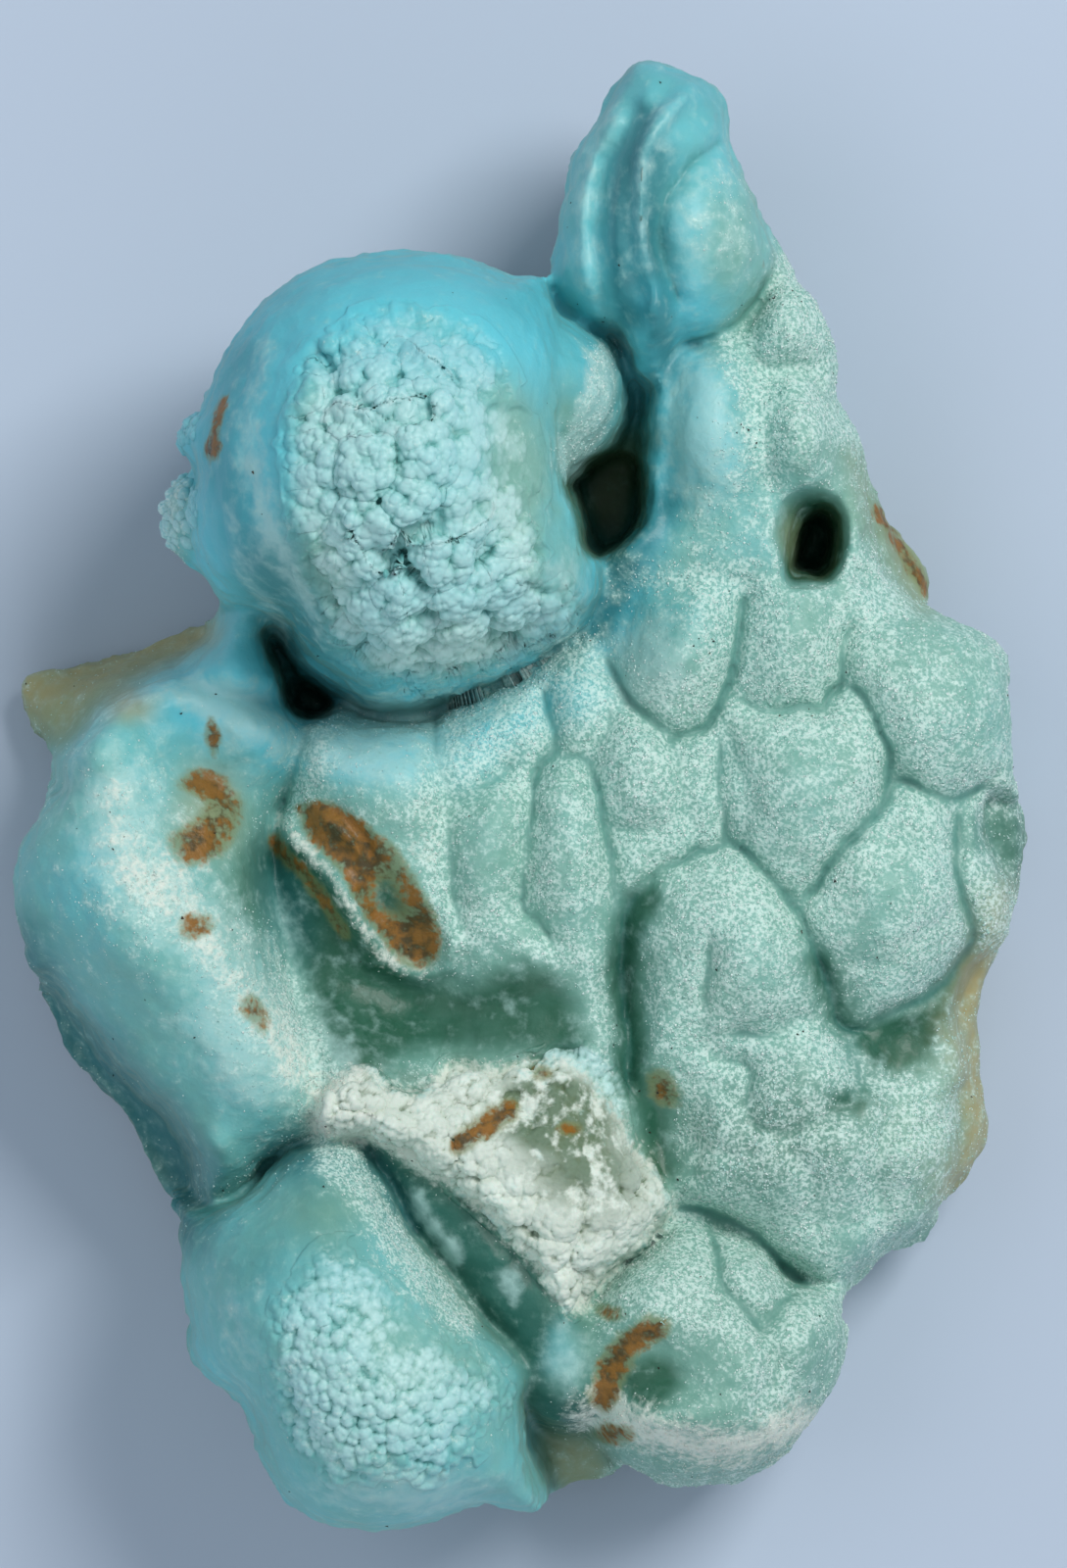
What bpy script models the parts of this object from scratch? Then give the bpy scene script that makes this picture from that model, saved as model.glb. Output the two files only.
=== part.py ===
"""An aragonite specimen: one crust of knobs, cells and ledges that grew on a thin plate of stone.

The specimen lies on its broken back with its grown face up. X runs across the face, Y along it to the
tip of the horn, and Z up from the surface that it rests on. The figures below are millimetres, and the
mesh is made in metres. The face is a relief: each growth is an outline that swells up from its foot,
the highest growth shows, ridges and hollows shape it, and creases part the cells.
"""

from typing import NamedTuple

import bpy
import numpy as np

MM = 0.001

# Driving dimensions, in millimetres
LENGTH = 125.7
WIDTH = 86.4
KNOB_WAIST = 29.0
KNOB_TOP = 52.0
LOBE_WAIST = 19.0
PLATE_FOOT = 17.0
SHELF_FOOT = 10.0
BASE_FOOT = 5.0

# The broken back: the rim's least thickness, how far in it curves under, and the horn's free tip
RIM_THICKNESS = 2.2
RIM_SMOOTHING = 3.0
UNDERCUT_SHARE = 0.42
UNDERCUT_LEAST = 1.5
UNDERCUT_WANDER = 0.35
UNDERCUT_PATCH = 9.0
HORN_LIFT_START = 47.0
HORN_LIFT_SLOPE = 0.9

# The face: steepness of the walls, sizes and reaches of the outlines' wander, softness of the whole
WALL_SLOPE = 7.0
WANDER = ((4.0, 0.4), (1.6, 0.18), (0.8, 0.1))
FACE_SOFTNESS = 0.3

# The creases: their depth, shoulders and width, how unevenly they run, and how they fade at their ends
CREASE_DEPTH = 3.6
CREASE_SHOULDER = 1.6
CREASE_WIDTH = 0.5
CREASE_PULL = 2.0
CREASE_UNEVENNESS = 0.35
CREASE_PATCH = 4.5
CREASE_FADE = 1.6
CREASE_END = 0.8

# Round grains: the share of their spacing that is their radius, and the share that stays below the skin
GRANULE_RADIUS_SHARE = 0.72
GRANULE_SUNK = 0.6

# Roughness of the broken sides and of the face: sizes of its lumps and their heights
BREAK_SIZE = 6.0
BREAK_HEIGHT = 1.1
BREAK_GRAIN = 2.4
BREAK_GRAIN_HEIGHT = 0.4
BREAK_TURN = 0.25
FACE_SIZE = 5.0
FACE_HEIGHT = 0.16
ROUGH_FROM = 3.0

# How the skin's swelling is worked out: rounds on the coarse grid and on finer ones, and their push
COARSEST_STEP = 1.0
COARSE_ROUNDS = 160
FINE_ROUNDS = 50
PUSH = 1.9
CALM_ROUNDS = 6

# Fineness of the relief, of its noise and of the skin, the triangles kept, and the cut at the base
MAP_STEP = 0.5
MAP_MARGIN = 3.0
NOISE_CELLS = 64
NOISE_CELLS_3D = 32
CURVE_STEPS = 4
FAR = 1000.0
SLAB_THICKNESS = 4.0
SLAB_VOXEL = 0.8
SKIN_VOXEL = 0.66
KEPT_TRIANGLES = 9300
BASE_CUT = 0.35


class Layer(NamedTuple):
    """One growth: its foot, its rise, how far in it goes on rising, its lean, its seam, its outline."""

    name: str
    foot: float
    rise: float
    span: float
    lean: tuple
    seam: float
    edge: tuple


class Swell(NamedTuple):
    """A gentle bump, or with a negative rise a hollow: middle, half axes, turn in degrees, rise."""

    x: float
    y: float
    along: float
    across: float
    turn: float
    rise: float


class Ridge(NamedTuple):
    """A rounded ridge, or with a negative rise a groove: its rise, its width, the line it follows."""

    rise: float
    width: float
    line: tuple


class Crease(NamedTuple):
    """A crease between two cells: how sharply it holds the swelling down, and the line it follows."""

    strength: float
    line: tuple


class Window(NamedTuple):
    """A hole in the face: how steep its wall is, how deep it goes, and its outline."""

    slope: float
    depth: float
    edge: tuple


class Patch(NamedTuple):
    """A patch of grains: how far apart they sit, how high they stand, and its outline."""

    spacing: float
    height: float
    edge: tuple


SILHOUETTE = (
    (-43.1, 9.9), (-41.2, 10.8), (-38.0, 10.9), (-35.6, 11.4), (-33.0, 12.6), (-30.4, 13.9), (-27.8, 14.8),
    (-26.0, 15.6), (-25.6, 17.2), (-27.0, 19.2), (-29.0, 20.6), (-30.3, 22.8), (-30.5, 25.0), (-29.6, 26.8),
    (-28.3, 27.6), (-28.2, 29.0), (-28.9, 30.4), (-28.2, 31.9), (-27.0, 32.8), (-26.2, 35.4), (-24.8, 38.0),
    (-23.2, 40.4), (-21.4, 42.6), (-18.4, 44.6), (-14.0, 45.9), (-10.0, 46.2), (-6.0, 46.0), (-3.2, 45.1),
    (-0.8, 44.0), (0.8, 44.1), (1.9, 44.2), (2.9, 45.4), (3.3, 48.0), (3.6, 50.5), (4.4, 53.2), (5.6, 56.2),
    (7.2, 59.0), (8.8, 61.6), (9.7, 62.7), (11.4, 62.8), (13.6, 61.9), (15.6, 60.9), (16.9, 59.8),
    (17.4, 57.6), (18.0, 55.2), (19.0, 52.6), (20.4, 50.2), (21.9, 47.4), (23.2, 44.9), (24.8, 42.8),
    (26.2, 40.0), (26.8, 37.0), (26.9, 34.2), (28.0, 32.4), (29.0, 29.6), (29.8, 26.4), (31.2, 23.8),
    (33.4, 21.7), (35.0, 19.0), (34.9, 16.2), (37.0, 15.0), (39.4, 14.1), (41.2, 11.8), (41.8, 8.4),
    (41.9, 4.6), (42.4, 0.8), (43.2, -2.8), (43.0, -6.4), (42.2, -10.0), (41.0, -13.2), (39.6, -16.6),
    (39.1, -20.4), (39.2, -24.0), (40.1, -27.6), (39.4, -31.0), (37.4, -33.4), (36.0, -34.6), (35.2, -37.0),
    (32.8, -38.6), (30.4, -39.8), (28.2, -41.8), (27.4, -44.0), (27.7, -46.8), (26.9, -50.0), (25.2, -53.2),
    (22.4, -56.3), (20.0, -58.0), (17.0, -58.8), (13.0, -58.8), (10.2, -57.8), (8.8, -57.3), (7.2, -58.7),
    (4.4, -59.4), (2.2, -60.4), (0.8, -61.1), (-1.6, -60.6), (-4.4, -60.7), (-7.4, -61.7), (-10.6, -62.7),
    (-14.2, -62.8), (-17.6, -62.0), (-20.2, -60.0), (-22.0, -57.2), (-22.6, -54.2), (-24.0, -51.4),
    (-26.6, -49.8), (-28.1, -47.6), (-28.1, -44.8), (-28.9, -42.0), (-29.1, -38.8), (-29.1, -36.0),
    (-30.6, -33.8), (-32.2, -31.6), (-33.8, -28.2), (-36.2, -24.8), (-39.2, -22.0), (-40.2, -19.0),
    (-41.4, -16.2), (-42.4, -13.0), (-43.2, -9.6), (-43.2, -6.4), (-41.9, -3.4), (-40.4, -0.6),
    (-40.3, 1.8), (-40.1, 3.8), (-41.2, 5.8), (-42.5, 7.9),
)

LAYERS = (
    Layer("back_plate", BASE_FOOT, 4.5, 4.0, (0.06, 0.02), 0.5, (
        (-60, -80), (60, -80), (60, 80), (-60, 80))),
    Layer("shelf", SHELF_FOOT, 6.5, 5.0, (0.02, 0.05), 2.5, (
        (26, 36), (29.5, 27), (33, 19), (36, 14), (50, 6), (50, -40), (33, -45), (24, -47), (8, -54),
        (2, -48), (-6, -38), (-14, -27), (-22, -24), (-24, 2), (-16, 8), (4, 10), (9, 20), (11, 34),
        (20, 42))),
    Layer("neck", 12.0, 15.0, 6.0, (-0.1, 0.35), 1.5, (
        (-30.2, 10.0), (-25.6, 8.0), (-19.5, 7.2), (-18.2, 10.4), (-21.0, 14.0), (-21.0, 22.0),
        (-30.0, 22.0), (-26.8, 14.6), (-28.2, 12.0))),
    Layer("cell_plate", PLATE_FOOT, 8.5, 6.0, (-0.03, 0.05), 1.2, (
        (-17.5, 6.5), (-20.6, -2.0), (-21.5, -12.0), (-18.8, -19.0), (-16.5, -27.0), (-6.0, -30.0),
        (4.0, -34.0), (12.0, -37.5), (18.0, -37.0), (22.4, -41.0), (27.0, -41.8), (31.0, -38.6),
        (34.8, -35.8), (36.9, -31.8), (37.0, -27.0), (38.2, -23.0), (37.4, -18.6), (38.4, -15.2),
        (41.0, -11.6), (41.9, -8.4), (40.8, -5.8), (39.6, -3.0), (39.9, -0.4), (41.4, 0.2), (50.0, 2.0),
        (50.0, 16.0), (36.0, 15.6), (33.0, 17.0), (30.0, 21.4), (28.8, 26.0), (28.4, 30.6), (26.9, 34.4),
        (27.4, 38.6), (24.6, 43.4), (22.0, 47.4), (19.0, 46.0), (14.0, 42.0), (10.8, 38.0), (11.1, 34.0),
        (10.6, 28.0), (9.6, 23.0), (6.4, 20.0), (4.0, 13.0), (-6.0, 7.0), (-12.0, 6.0))),
    Layer("left_bulge", PLATE_FOOT, 9.5, 9.0, (-0.12, 0.0), 3.0, (
        (-30.5, 10.2), (-26.0, 9.8), (-21.5, 8.4), (-17.6, 6.4), (-19.6, 0.4), (-20.6, -3.0),
        (-20.4, -10.0), (-18.8, -17.0), (-16.8, -22.0), (-16.4, -26.4), (-17.2, -29.4), (-20.6, -30.6),
        (-23.0, -31.4), (-24.2, -34.0), (-26.6, -35.6), (-27.2, -32.0), (-28.6, -28.4), (-32.0, -24.6),
        (-35.6, -21.2), (-38.0, -17.6), (-41.0, -14.8), (-50.0, -12.0), (-50.0, -1.0), (-40.2, -0.4),
        (-38.4, 3.0), (-35.6, 6.2))),
    Layer("crust_wall", 19.5, 5.0, 4.0, (0.16, 0.1), 1.0, (
        (-17.2, -28.4), (-15.4, -31.2), (-13.0, -34.4), (-10.8, -38.2), (-7.8, -42.0), (-4.8, -45.6),
        (-1.8, -49.2), (0.6, -52.2), (4.4, -53.4), (7.4, -51.0), (6.6, -46.0), (4.0, -42.0), (0.0, -37.0),
        (-4.0, -32.0), (-10.0, -27.0))),
    Layer("lower_left_lobe", LOBE_WAIST, 18.5, 30.0, (0.04, 0.0), 0.4, (
        (-17.4, -29.4), (-14.8, -29.0), (-12.2, -31.0), (-10.4, -34.0), (-9.2, -37.0), (-6.4, -40.2),
        (-3.2, -44.0), (-0.6, -47.0), (0.7, -49.4), (-0.1, -53.0), (0.4, -57.0), (1.4, -61.2), (0.0, -70.0),
        (-30.0, -70.0), (-40.0, -44.0), (-32.0, -37.0), (-26.4, -35.6), (-23.6, -34.4), (-21.2, -31.6))),
    Layer("lower_right_lobe", 14.0, 14.0, 12.0, (0.0, 0.02), 1.0, (
        (1.8, -47.4), (4.0, -43.6), (7.6, -40.4), (10.6, -38.2), (12.6, -36.0), (15.6, -36.0),
        (19.4, -37.4), (22.4, -40.8), (25.4, -42.0), (34.0, -44.0), (34.0, -66.0), (12.0, -66.0),
        (8.6, -57.2), (6.8, -54.8), (5.2, -52.0), (2.8, -50.2))),
    Layer("white_crust", 21.0, 7.0, 3.0, (-0.12, -0.14), 0.6, (
        (-16.6, -25.4), (-15.0, -23.6), (-13.2, -23.2), (-11.4, -24.0), (-9.6, -23.2), (-8.4, -24.4),
        (-7.0, -22.6), (-5.0, -21.9), (-2.4, -22.4), (0.2, -21.9), (3.0, -20.9), (5.8, -21.2), (7.9, -23.0),
        (8.9, -25.6), (9.4, -28.6), (10.9, -31.0), (12.4, -33.2), (12.6, -35.4), (11.0, -38.0),
        (8.0, -40.2), (6.2, -42.0), (5.2, -44.4), (3.4, -44.6), (2.4, -42.0), (0.2, -38.6), (-2.4, -35.6),
        (-6.0, -31.8), (-10.0, -29.4), (-14.0, -28.6), (-16.8, -28.8))),
    Layer("horn", 23.0, 10.5, 6.5, (0.0, 0.12), 1.0, (
        (10.7, 35.6), (8.6, 39.4), (6.6, 40.4), (4.0, 41.2), (2.2, 43.4), (-2.0, 50.0), (4.0, 70.0),
        (20.0, 70.0), (19.2, 52.6), (20.6, 49.2), (21.4, 46.4), (20.8, 43.8), (19.2, 41.6), (17.2, 40.0),
        (14.6, 39.2), (12.4, 37.6))),
    Layer("ear", 20.0, 15.0, 60.0, (-0.2, 0.1), 2.6, (
        (-4.0, 43.0), (3.0, 41.6), (6.0, 40.3), (7.9, 38.4), (8.9, 35.8), (8.9, 33.2), (7.8, 30.8),
        (5.8, 28.8), (3.8, 27.2), (0.0, 25.0))),
    Layer("knob", KNOB_WAIST, KNOB_TOP - KNOB_WAIST, 60.0, (0.0, 0.0), 0.6, (
        (-25.6, 17.0), (-27.4, 20.0), (-28.0, 24.0), (-27.4, 28.6), (-32.0, 34.0), (-24.0, 60.0),
        (0.0, 50.0), (1.6, 43.4), (2.6, 41.0), (3.6, 37.0), (3.4, 32.0), (3.4, 28.0), (4.2, 24.6),
        (5.2, 22.0), (6.3, 20.2), (6.7, 17.8), (6.0, 15.4), (4.0, 13.4), (1.4, 11.4), (-2.0, 9.8),
        (-6.0, 8.9), (-10.0, 8.3), (-14.0, 7.8), (-16.2, 8.4), (-17.8, 9.6), (-19.2, 12.0), (-21.2, 14.2),
        (-23.6, 16.0))),
    Layer("left_wart", 25.0, 5.0, 60.0, (0.0, 0.0), 0.3, (
        (-27.0, 20.6), (-26.9, 24.0), (-27.6, 27.2), (-34.0, 28.0), (-34.0, 19.0))),
    Layer("upper_wart", 26.0, 5.0, 60.0, (0.0, 0.0), 0.3, (
        (-27.2, 28.6), (-26.0, 30.0), (-26.4, 32.4), (-34.0, 34.0), (-34.0, 28.0))),
)

SWELLS = (
    Swell(24.5, 0.0, 9.0, 10.0, 0, 3.4),
    Swell(35.0, 8.0, 9.0, 9.0, 0, 2.8),
    Swell(31.5, -8.5, 9.0, 10.0, 0, 3.4),
    Swell(19.0, -13.0, 9.0, 11.0, 20, 4.0),
    Swell(13.0, 13.0, 7.0, 8.0, 0, 2.4),
    Swell(23.0, 13.5, 5.0, 6.0, 0, 1.6),
    Swell(4.2, -4.0, 4.5, 9.0, 0, 2.0),
    Swell(-3.0, -4.0, 5.0, 7.0, 0, 1.6),
    Swell(-11.0, 2.0, 7.0, 7.0, 0, 2.4),
    Swell(10.5, 2.0, 5.0, 7.0, 0, 1.6),
    Swell(16.0, 32.0, 6.0, 10.0, 0, 3.4),
    Swell(24.0, 31.2, 5.0, 6.2, 0, 4.4),
    Swell(23.0, 40.4, 4.6, 4.6, 0, 3.0),
    Swell(-11.0, -16.5, 14.0, 9.0, -18, -6.0),
    Swell(3.5, -18.5, 8.0, 6.0, 0, -2.6),
    Swell(-19.0, -10.0, 6.0, 12.0, 0, -3.0),
    Swell(-27.6, 1.2, 6.0, 5.0, 10, -1.8),
    Swell(-33.0, -13.0, 7.0, 5.0, -50, 1.2),
    Swell(-11.6, -8.2, 7.0, 3.2, -52, -2.2),
    Swell(24.0, -30.0, 13.0, 8.0, 0, 2.5),
    Swell(24.0, -24.0, 6.0, 4.5, 0, 1.2),
    Swell(33.0, -22.0, 5.5, 5.5, 0, -2.4),
    Swell(34.0, -30.5, 5.0, 5.0, 0, 1.2),
    Swell(12.0, -30.0, 5.0, 8.0, 0, -2.6),
    Swell(9.2, -17.0, 3.6, 8.0, 0, -1.8),
    Swell(12.0, -48.4, 8.0, 5.0, 10, -2.4),
    Swell(15.0, -53.6, 11.0, 3.6, -4, 1.4),
    Swell(19.4, -40.6, 3.4, 5.0, 20, 1.2),
    Swell(24.2, -45.6, 3.6, 4.6, 10, 1.2),
    Swell(10.6, -42.0, 5.0, 4.0, 30, 1.6),
    Swell(9.5, 15.0, 5.0, 8.0, -40, -2.4),
    Swell(-0.5, -26.0, 6.0, 3.6, 10, -1.8),
    Swell(-11.0, 14.0, 8.0, 5.0, 20, 1.2),
    Swell(-8.0, 27.0, 12.0, 15.0, 0, 1.0),
)

RIDGES = (
    Ridge(5.2, 9.5, ((-38.0, 0.0), (-34.5, -6.0), (-29.0, -12.0), (-24.0, -18.0), (-20.0, -24.5))),
    Ridge(4.0, 3.0, ((-36.5, 5.0), (-33.0, 8.6), (-28.0, 9.0), (-23.0, 7.4), (-18.0, 4.0))),
    Ridge(1.6, 0.9, ((-20.2, -2.6), (-19.0, -4.4), (-16.7, -6.8), (-14.6, -10.9), (-12.0, -14.0),
                     (-9.0, -15.6), (-6.7, -14.6), (-6.0, -12.6))),
    Ridge(-0.8, 2.2, ((-20.4, 37.0), (-22.2, 31.0), (-21.8, 25.0), (-19.0, 18.0), (-15.6, 12.0))),
    Ridge(1.3, 1.2, ((9.0, 59.6), (7.6, 56.2), (6.4, 52.6), (5.8, 48.4), (5.5, 43.6))),
    Ridge(-1.5, 1.1, ((8.8, 56.6), (7.8, 54.0), (7.2, 51.0), (6.9, 47.6), (6.9, 44.0), (7.6, 41.0))),
    Ridge(1.9, 1.7, ((15.4, 60.4), (12.8, 57.6), (11.1, 54.2), (10.3, 49.4), (10.5, 45.0), (11.2, 40.8))),
    Ridge(2.4, 1.1, ((11.2, 40.8), (11.2, 36.8), (11.3, 32.4), (10.9, 28.0), (10.2, 24.0), (9.2, 20.8))),
    Ridge(0.6, 0.9, ((11.0, 61.0), (9.2, 57.6), (8.2, 54.0), (7.9, 50.0), (8.1, 46.0), (9.3, 41.5))),
    Ridge(-0.8, 0.9, ((13.4, 61.0), (10.9, 57.8), (9.4, 54.0), (8.8, 50.7), (9.2, 46.0), (10.0, 41.5))),
    Ridge(0.9, 0.8, ((20.8, 44.6), (19.4, 42.6), (17.4, 40.8), (15.0, 40.0))),
    Ridge(1.6, 1.4, ((-26.0, -29.8), (-25.6, -32.0), (-26.4, -34.4))),
    Ridge(1.4, 1.6, ((-33.0, -22.6), (-29.6, -26.0), (-27.6, -29.6))),
    Ridge(0.5, 0.9, ((-14.6, -27.6), (-10.0, -28.6), (-5.6, -31.4), (-2.0, -35.0), (0.8, -38.6),
                     (3.2, -42.6))),
)

CREASES = (
    Crease(1.8, ((-14.5, 7.9), (-10.0, 8.2), (-6.0, 8.9), (-2.0, 9.8), (1.5, 11.4), (4.0, 13.4),
                 (6.0, 15.2))),
    Crease(2.2, ((6.8, 12.6), (7.6, 11.2), (8.6, 9.2), (10.2, 7.0), (12.0, 5.6), (13.4, 5.0))),
    Crease(2.4, ((18.9, 18.0), (18.6, 15.4), (18.0, 12.6), (17.9, 10.6), (17.0, 8.4), (15.8, 6.2),
                 (14.6, 5.6), (13.4, 5.0), (12.6, 4.0))),
    Crease(2.0, ((16.4, 5.4), (16.6, 3.0), (16.4, 0.6), (17.0, -1.8), (17.2, -3.4), (16.0, -4.2),
                 (14.6, -4.4), (14.0, -5.6))),
    Crease(2.4, ((17.2, -3.4), (19.0, -4.6), (20.8, -6.6), (22.4, -8.6), (23.6, -9.8), (24.4, -12.4),
                 (25.8, -15.0), (26.6, -18.0), (27.6, -19.8), (30.0, -19.8))),
    Crease(2.2, ((23.6, -9.2), (25.4, -7.4), (26.6, -5.2), (28.2, -3.4), (30.4, -1.2), (31.4, 0.6),
                 (31.4, 3.0), (30.4, 5.2), (29.8, 7.4), (28.6, 9.4), (27.4, 9.6))),
    Crease(2.4, ((31.4, 1.6), (33.6, 1.2), (36.0, 0.2), (38.0, 0.0), (40.0, 1.0), (42.0, 1.2))),
    Crease(1.8, ((18.0, 8.6), (19.4, 8.0), (21.0, 7.2), (23.4, 7.3), (25.6, 7.4), (26.0, 8.8), (27.4, 9.6),
                 (27.6, 12.0), (28.0, 14.2), (29.0, 15.0))),
    Crease(1.4, ((31.2, -1.4), (32.6, -2.6), (34.4, -3.8), (36.2, -4.4))),
    Crease(2.4, ((37.4, -0.4), (37.4, -3.4), (37.0, -6.2), (37.6, -8.8), (38.4, -11.4), (38.0, -13.4),
                 (36.6, -15.6), (34.4, -17.4), (31.8, -18.6), (30.0, -19.8))),
    Crease(1.0, ((31.8, -13.2), (33.6, -12.0), (35.4, -10.6), (36.6, -9.4))),
    Crease(1.6, ((10.2, -8.0), (11.2, -6.8), (12.6, -6.0), (14.0, -5.6))),
    Crease(2.6, ((10.2, -8.0), (9.0, -9.4), (8.6, -12.0), (8.8, -16.0), (8.6, -19.0), (9.2, -22.0),
                 (9.8, -26.0))),
    Crease(1.4, ((16.2, -11.4), (16.0, -14.0), (15.8, -16.6), (15.9, -19.2))),
    Crease(0.9, ((16.2, -10.8), (18.0, -10.4), (20.0, -9.4))),
    Crease(1.2, ((19.0, -19.8), (21.2, -20.2), (23.4, -19.4), (26.0, -19.6))),
    Crease(1.8, ((-7.6, 8.2), (-7.4, 5.0), (-7.0, 2.0), (-6.6, 0.0), (-6.5, -3.0), (-6.0, -6.0),
                 (-5.6, -9.0), (-5.2, -12.0))),
    Crease(1.6, ((-6.6, -0.4), (-5.0, 0.2), (-3.2, 1.0), (-1.2, 2.2), (0.0, 3.4))),
    Crease(2.0, ((1.4, 9.8), (2.0, 7.6), (2.8, 5.2), (2.4, 3.4), (1.2, 1.6), (1.0, -1.4), (0.6, -4.6),
                 (0.2, -7.4), (0.2, -9.6), (1.4, -10.8), (2.4, -12.2), (3.4, -13.4))),
    Crease(2.2, ((2.6, 3.6), (4.2, 3.8), (5.4, 3.2), (6.2, 1.2), (6.8, -1.4), (7.4, -4.0), (8.0, -7.0),
                 (8.6, -9.6))),
    Crease(1.6, ((5.2, 3.8), (6.6, 4.6), (7.4, 6.0), (7.2, 8.4))),
    Crease(1.4, ((7.0, -2.2), (8.4, -2.4), (9.6, -2.8))),
    Crease(2.2, ((12.8, -35.4), (15.0, -35.4), (17.6, -36.0), (20.0, -37.2), (22.0, -39.6), (23.4, -41.2),
                 (25.4, -42.2))),
    Crease(2.2, ((12.4, -35.6), (11.4, -37.6), (9.2, -39.4), (7.0, -40.8), (5.8, -42.6), (5.0, -44.4))),
    Crease(1.4, ((16.2, -36.8), (16.6, -39.6), (17.4, -42.4), (19.2, -44.4), (20.6, -46.6))),
    Crease(1.2, ((20.6, -46.6), (21.0, -44.8), (22.2, -43.4), (23.8, -42.0))),
    Crease(1.7, ((-17.4, -29.6), (-14.6, -28.9), (-12.4, -31.0), (-10.6, -34.0), (-9.4, -37.0),
                 (-6.6, -40.4), (-3.4, -44.2), (-0.8, -47.2))),
    Crease(2.0, ((-17.4, -29.6), (-20.6, -30.9), (-22.4, -32.0), (-24.0, -34.2), (-26.4, -35.8),
                 (-28.6, -36.2))),
    Crease(1.6, ((-17.8, 6.0), (-19.4, 1.6), (-20.6, -1.0), (-21.2, -2.4))),
    Crease(2.2, ((21.4, 45.0), (20.4, 43.0), (19.0, 41.2), (17.2, 40.0), (15.2, 39.2), (13.2, 38.8))),
    Crease(1.9, ((17.6, 56.4), (16.0, 55.0), (14.4, 53.6), (12.9, 51.6), (12.1, 48.6), (12.2, 46.0),
                 (12.9, 43.4), (13.4, 41.0))),
    Crease(1.7, ((7.6, 54.6), (7.0, 51.6), (6.7, 48.0), (6.7, 44.0), (7.4, 41.0))),
    Crease(1.3, ((5.6, 41.0), (4.0, 41.6), (2.6, 43.0))),
    Crease(1.0, ((5.0, 49.0), (4.8, 46.6), (4.9, 44.2))),
    Crease(1.6, ((12.2, 37.4), (12.6, 34.0), (12.4, 30.0), (12.0, 26.0), (11.4, 22.6))),
    Crease(1.9, ((18.2, 38.4), (20.2, 37.2), (23.4, 36.4), (25.4, 35.0), (26.9, 32.6))),
    Crease(1.7, ((19.2, 37.6), (19.4, 35.4), (20.0, 32.5), (20.6, 28.9), (21.4, 26.4), (22.0, 25.3))),
    Crease(1.5, ((18.6, 39.6), (19.8, 41.0), (21.4, 43.4))),
    Crease(1.2, ((14.2, 39.0), (15.6, 37.4), (18.2, 38.4))),
    Crease(1.0, ((13.0, 18.2), (15.0, 18.6), (17.0, 18.2), (19.0, 18.2), (20.8, 18.4))),
    Crease(1.0, ((28.0, 20.4), (29.4, 18.6), (31.0, 17.0), (32.8, 15.8))),
    Crease(0.7, ((15.8, -20.8), (17.4, -22.4), (19.0, -22.4), (19.8, -24.6), (19.6, -27.4), (21.6, -28.6),
                 (24.4, -28.2), (27.2, -26.6), (28.6, -24.0), (28.2, -21.2))),
    Crease(0.6, ((14.6, -24.4), (17.0, -25.0), (19.4, -26.2))),
    Crease(0.6, ((28.6, -24.0), (30.6, -24.8), (32.0, -26.8), (31.0, -29.6), (30.4, -32.8), (31.2, -36.6))),
    Crease(0.5, ((21.6, -28.6), (23.4, -31.4), (25.0, -34.0), (25.2, -38.2))),
    Crease(0.5, ((14.0, -28.0), (16.0, -30.2), (19.0, -30.4), (20.4, -29.0))),
    Crease(0.5, ((31.4, -29.0), (34.4, -28.6), (36.8, -27.2))),
    Crease(0.8, ((16.4, -36.8), (16.8, -39.8), (18.0, -42.6), (19.4, -45.0), (21.4, -46.6), (24.0, -47.2))),
    Crease(0.6, ((21.4, -46.6), (21.6, -49.0), (20.6, -51.6))),
    Crease(0.5, ((18.0, -42.6), (15.0, -43.6), (12.6, -43.0), (10.4, -44.0))),
    Crease(1.6, ((-15.5, 32.0), (-13.6, 31.4), (-12.0, 31.5), (-10.0, 32.3), (-8.3, 32.5))),
    Crease(2.0, ((-14.6, 24.2), (-13.0, 22.0), (-11.8, 20.2), (-9.6, 19.8), (-8.6, 17.0), (-8.0, 14.0),
                 (-8.0, 9.4))),
    Crease(1.6, ((-8.8, 21.4), (-6.6, 22.4), (-4.6, 23.0), (-2.5, 24.2))),
    Crease(1.2, ((-10.5, 38.5), (-9.2, 37.0), (-8.0, 36.0), (-6.4, 35.2))),
    Crease(1.2, ((-4.2, 12.0), (-3.0, 13.4), (-1.6, 15.0), (0.0, 16.4))),
    Crease(0.8, ((0.8, 24.6), (3.0, 24.8), (4.4, 25.2))),
)

WINDOWS = (
    Window(1.5, 2.6, (
        (22.6, 25.4), (24.4, 26.4), (26.6, 25.8), (27.9, 23.6), (27.9, 20.8), (26.6, 18.6), (24.4, 18.1),
        (22.6, 19.2), (21.9, 21.4), (22.0, 23.8))),
    Window(12.0, 16.0, (
        (24.8, 24.8), (26.0, 25.1), (27.2, 23.5), (27.4, 20.8), (26.3, 18.9), (24.6, 18.7), (23.8, 20.4),
        (24.0, 23.0))),
    Window(14.0, 14.0, (
        (3.7, 27.6), (6.0, 29.0), (8.4, 29.6), (10.1, 28.8), (10.4, 26.0), (9.9, 22.9), (8.2, 20.9),
        (6.4, 20.3), (5.0, 22.1), (4.0, 25.2))),
    Window(12.0, 12.0, (
        (-22.4, 14.6), (-21.3, 14.0), (-19.0, 10.0), (-17.3, 8.0), (-17.5, 6.7), (-19.7, 7.4), (-20.2, 9.2),
        (-21.5, 12.2))),
)

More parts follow.
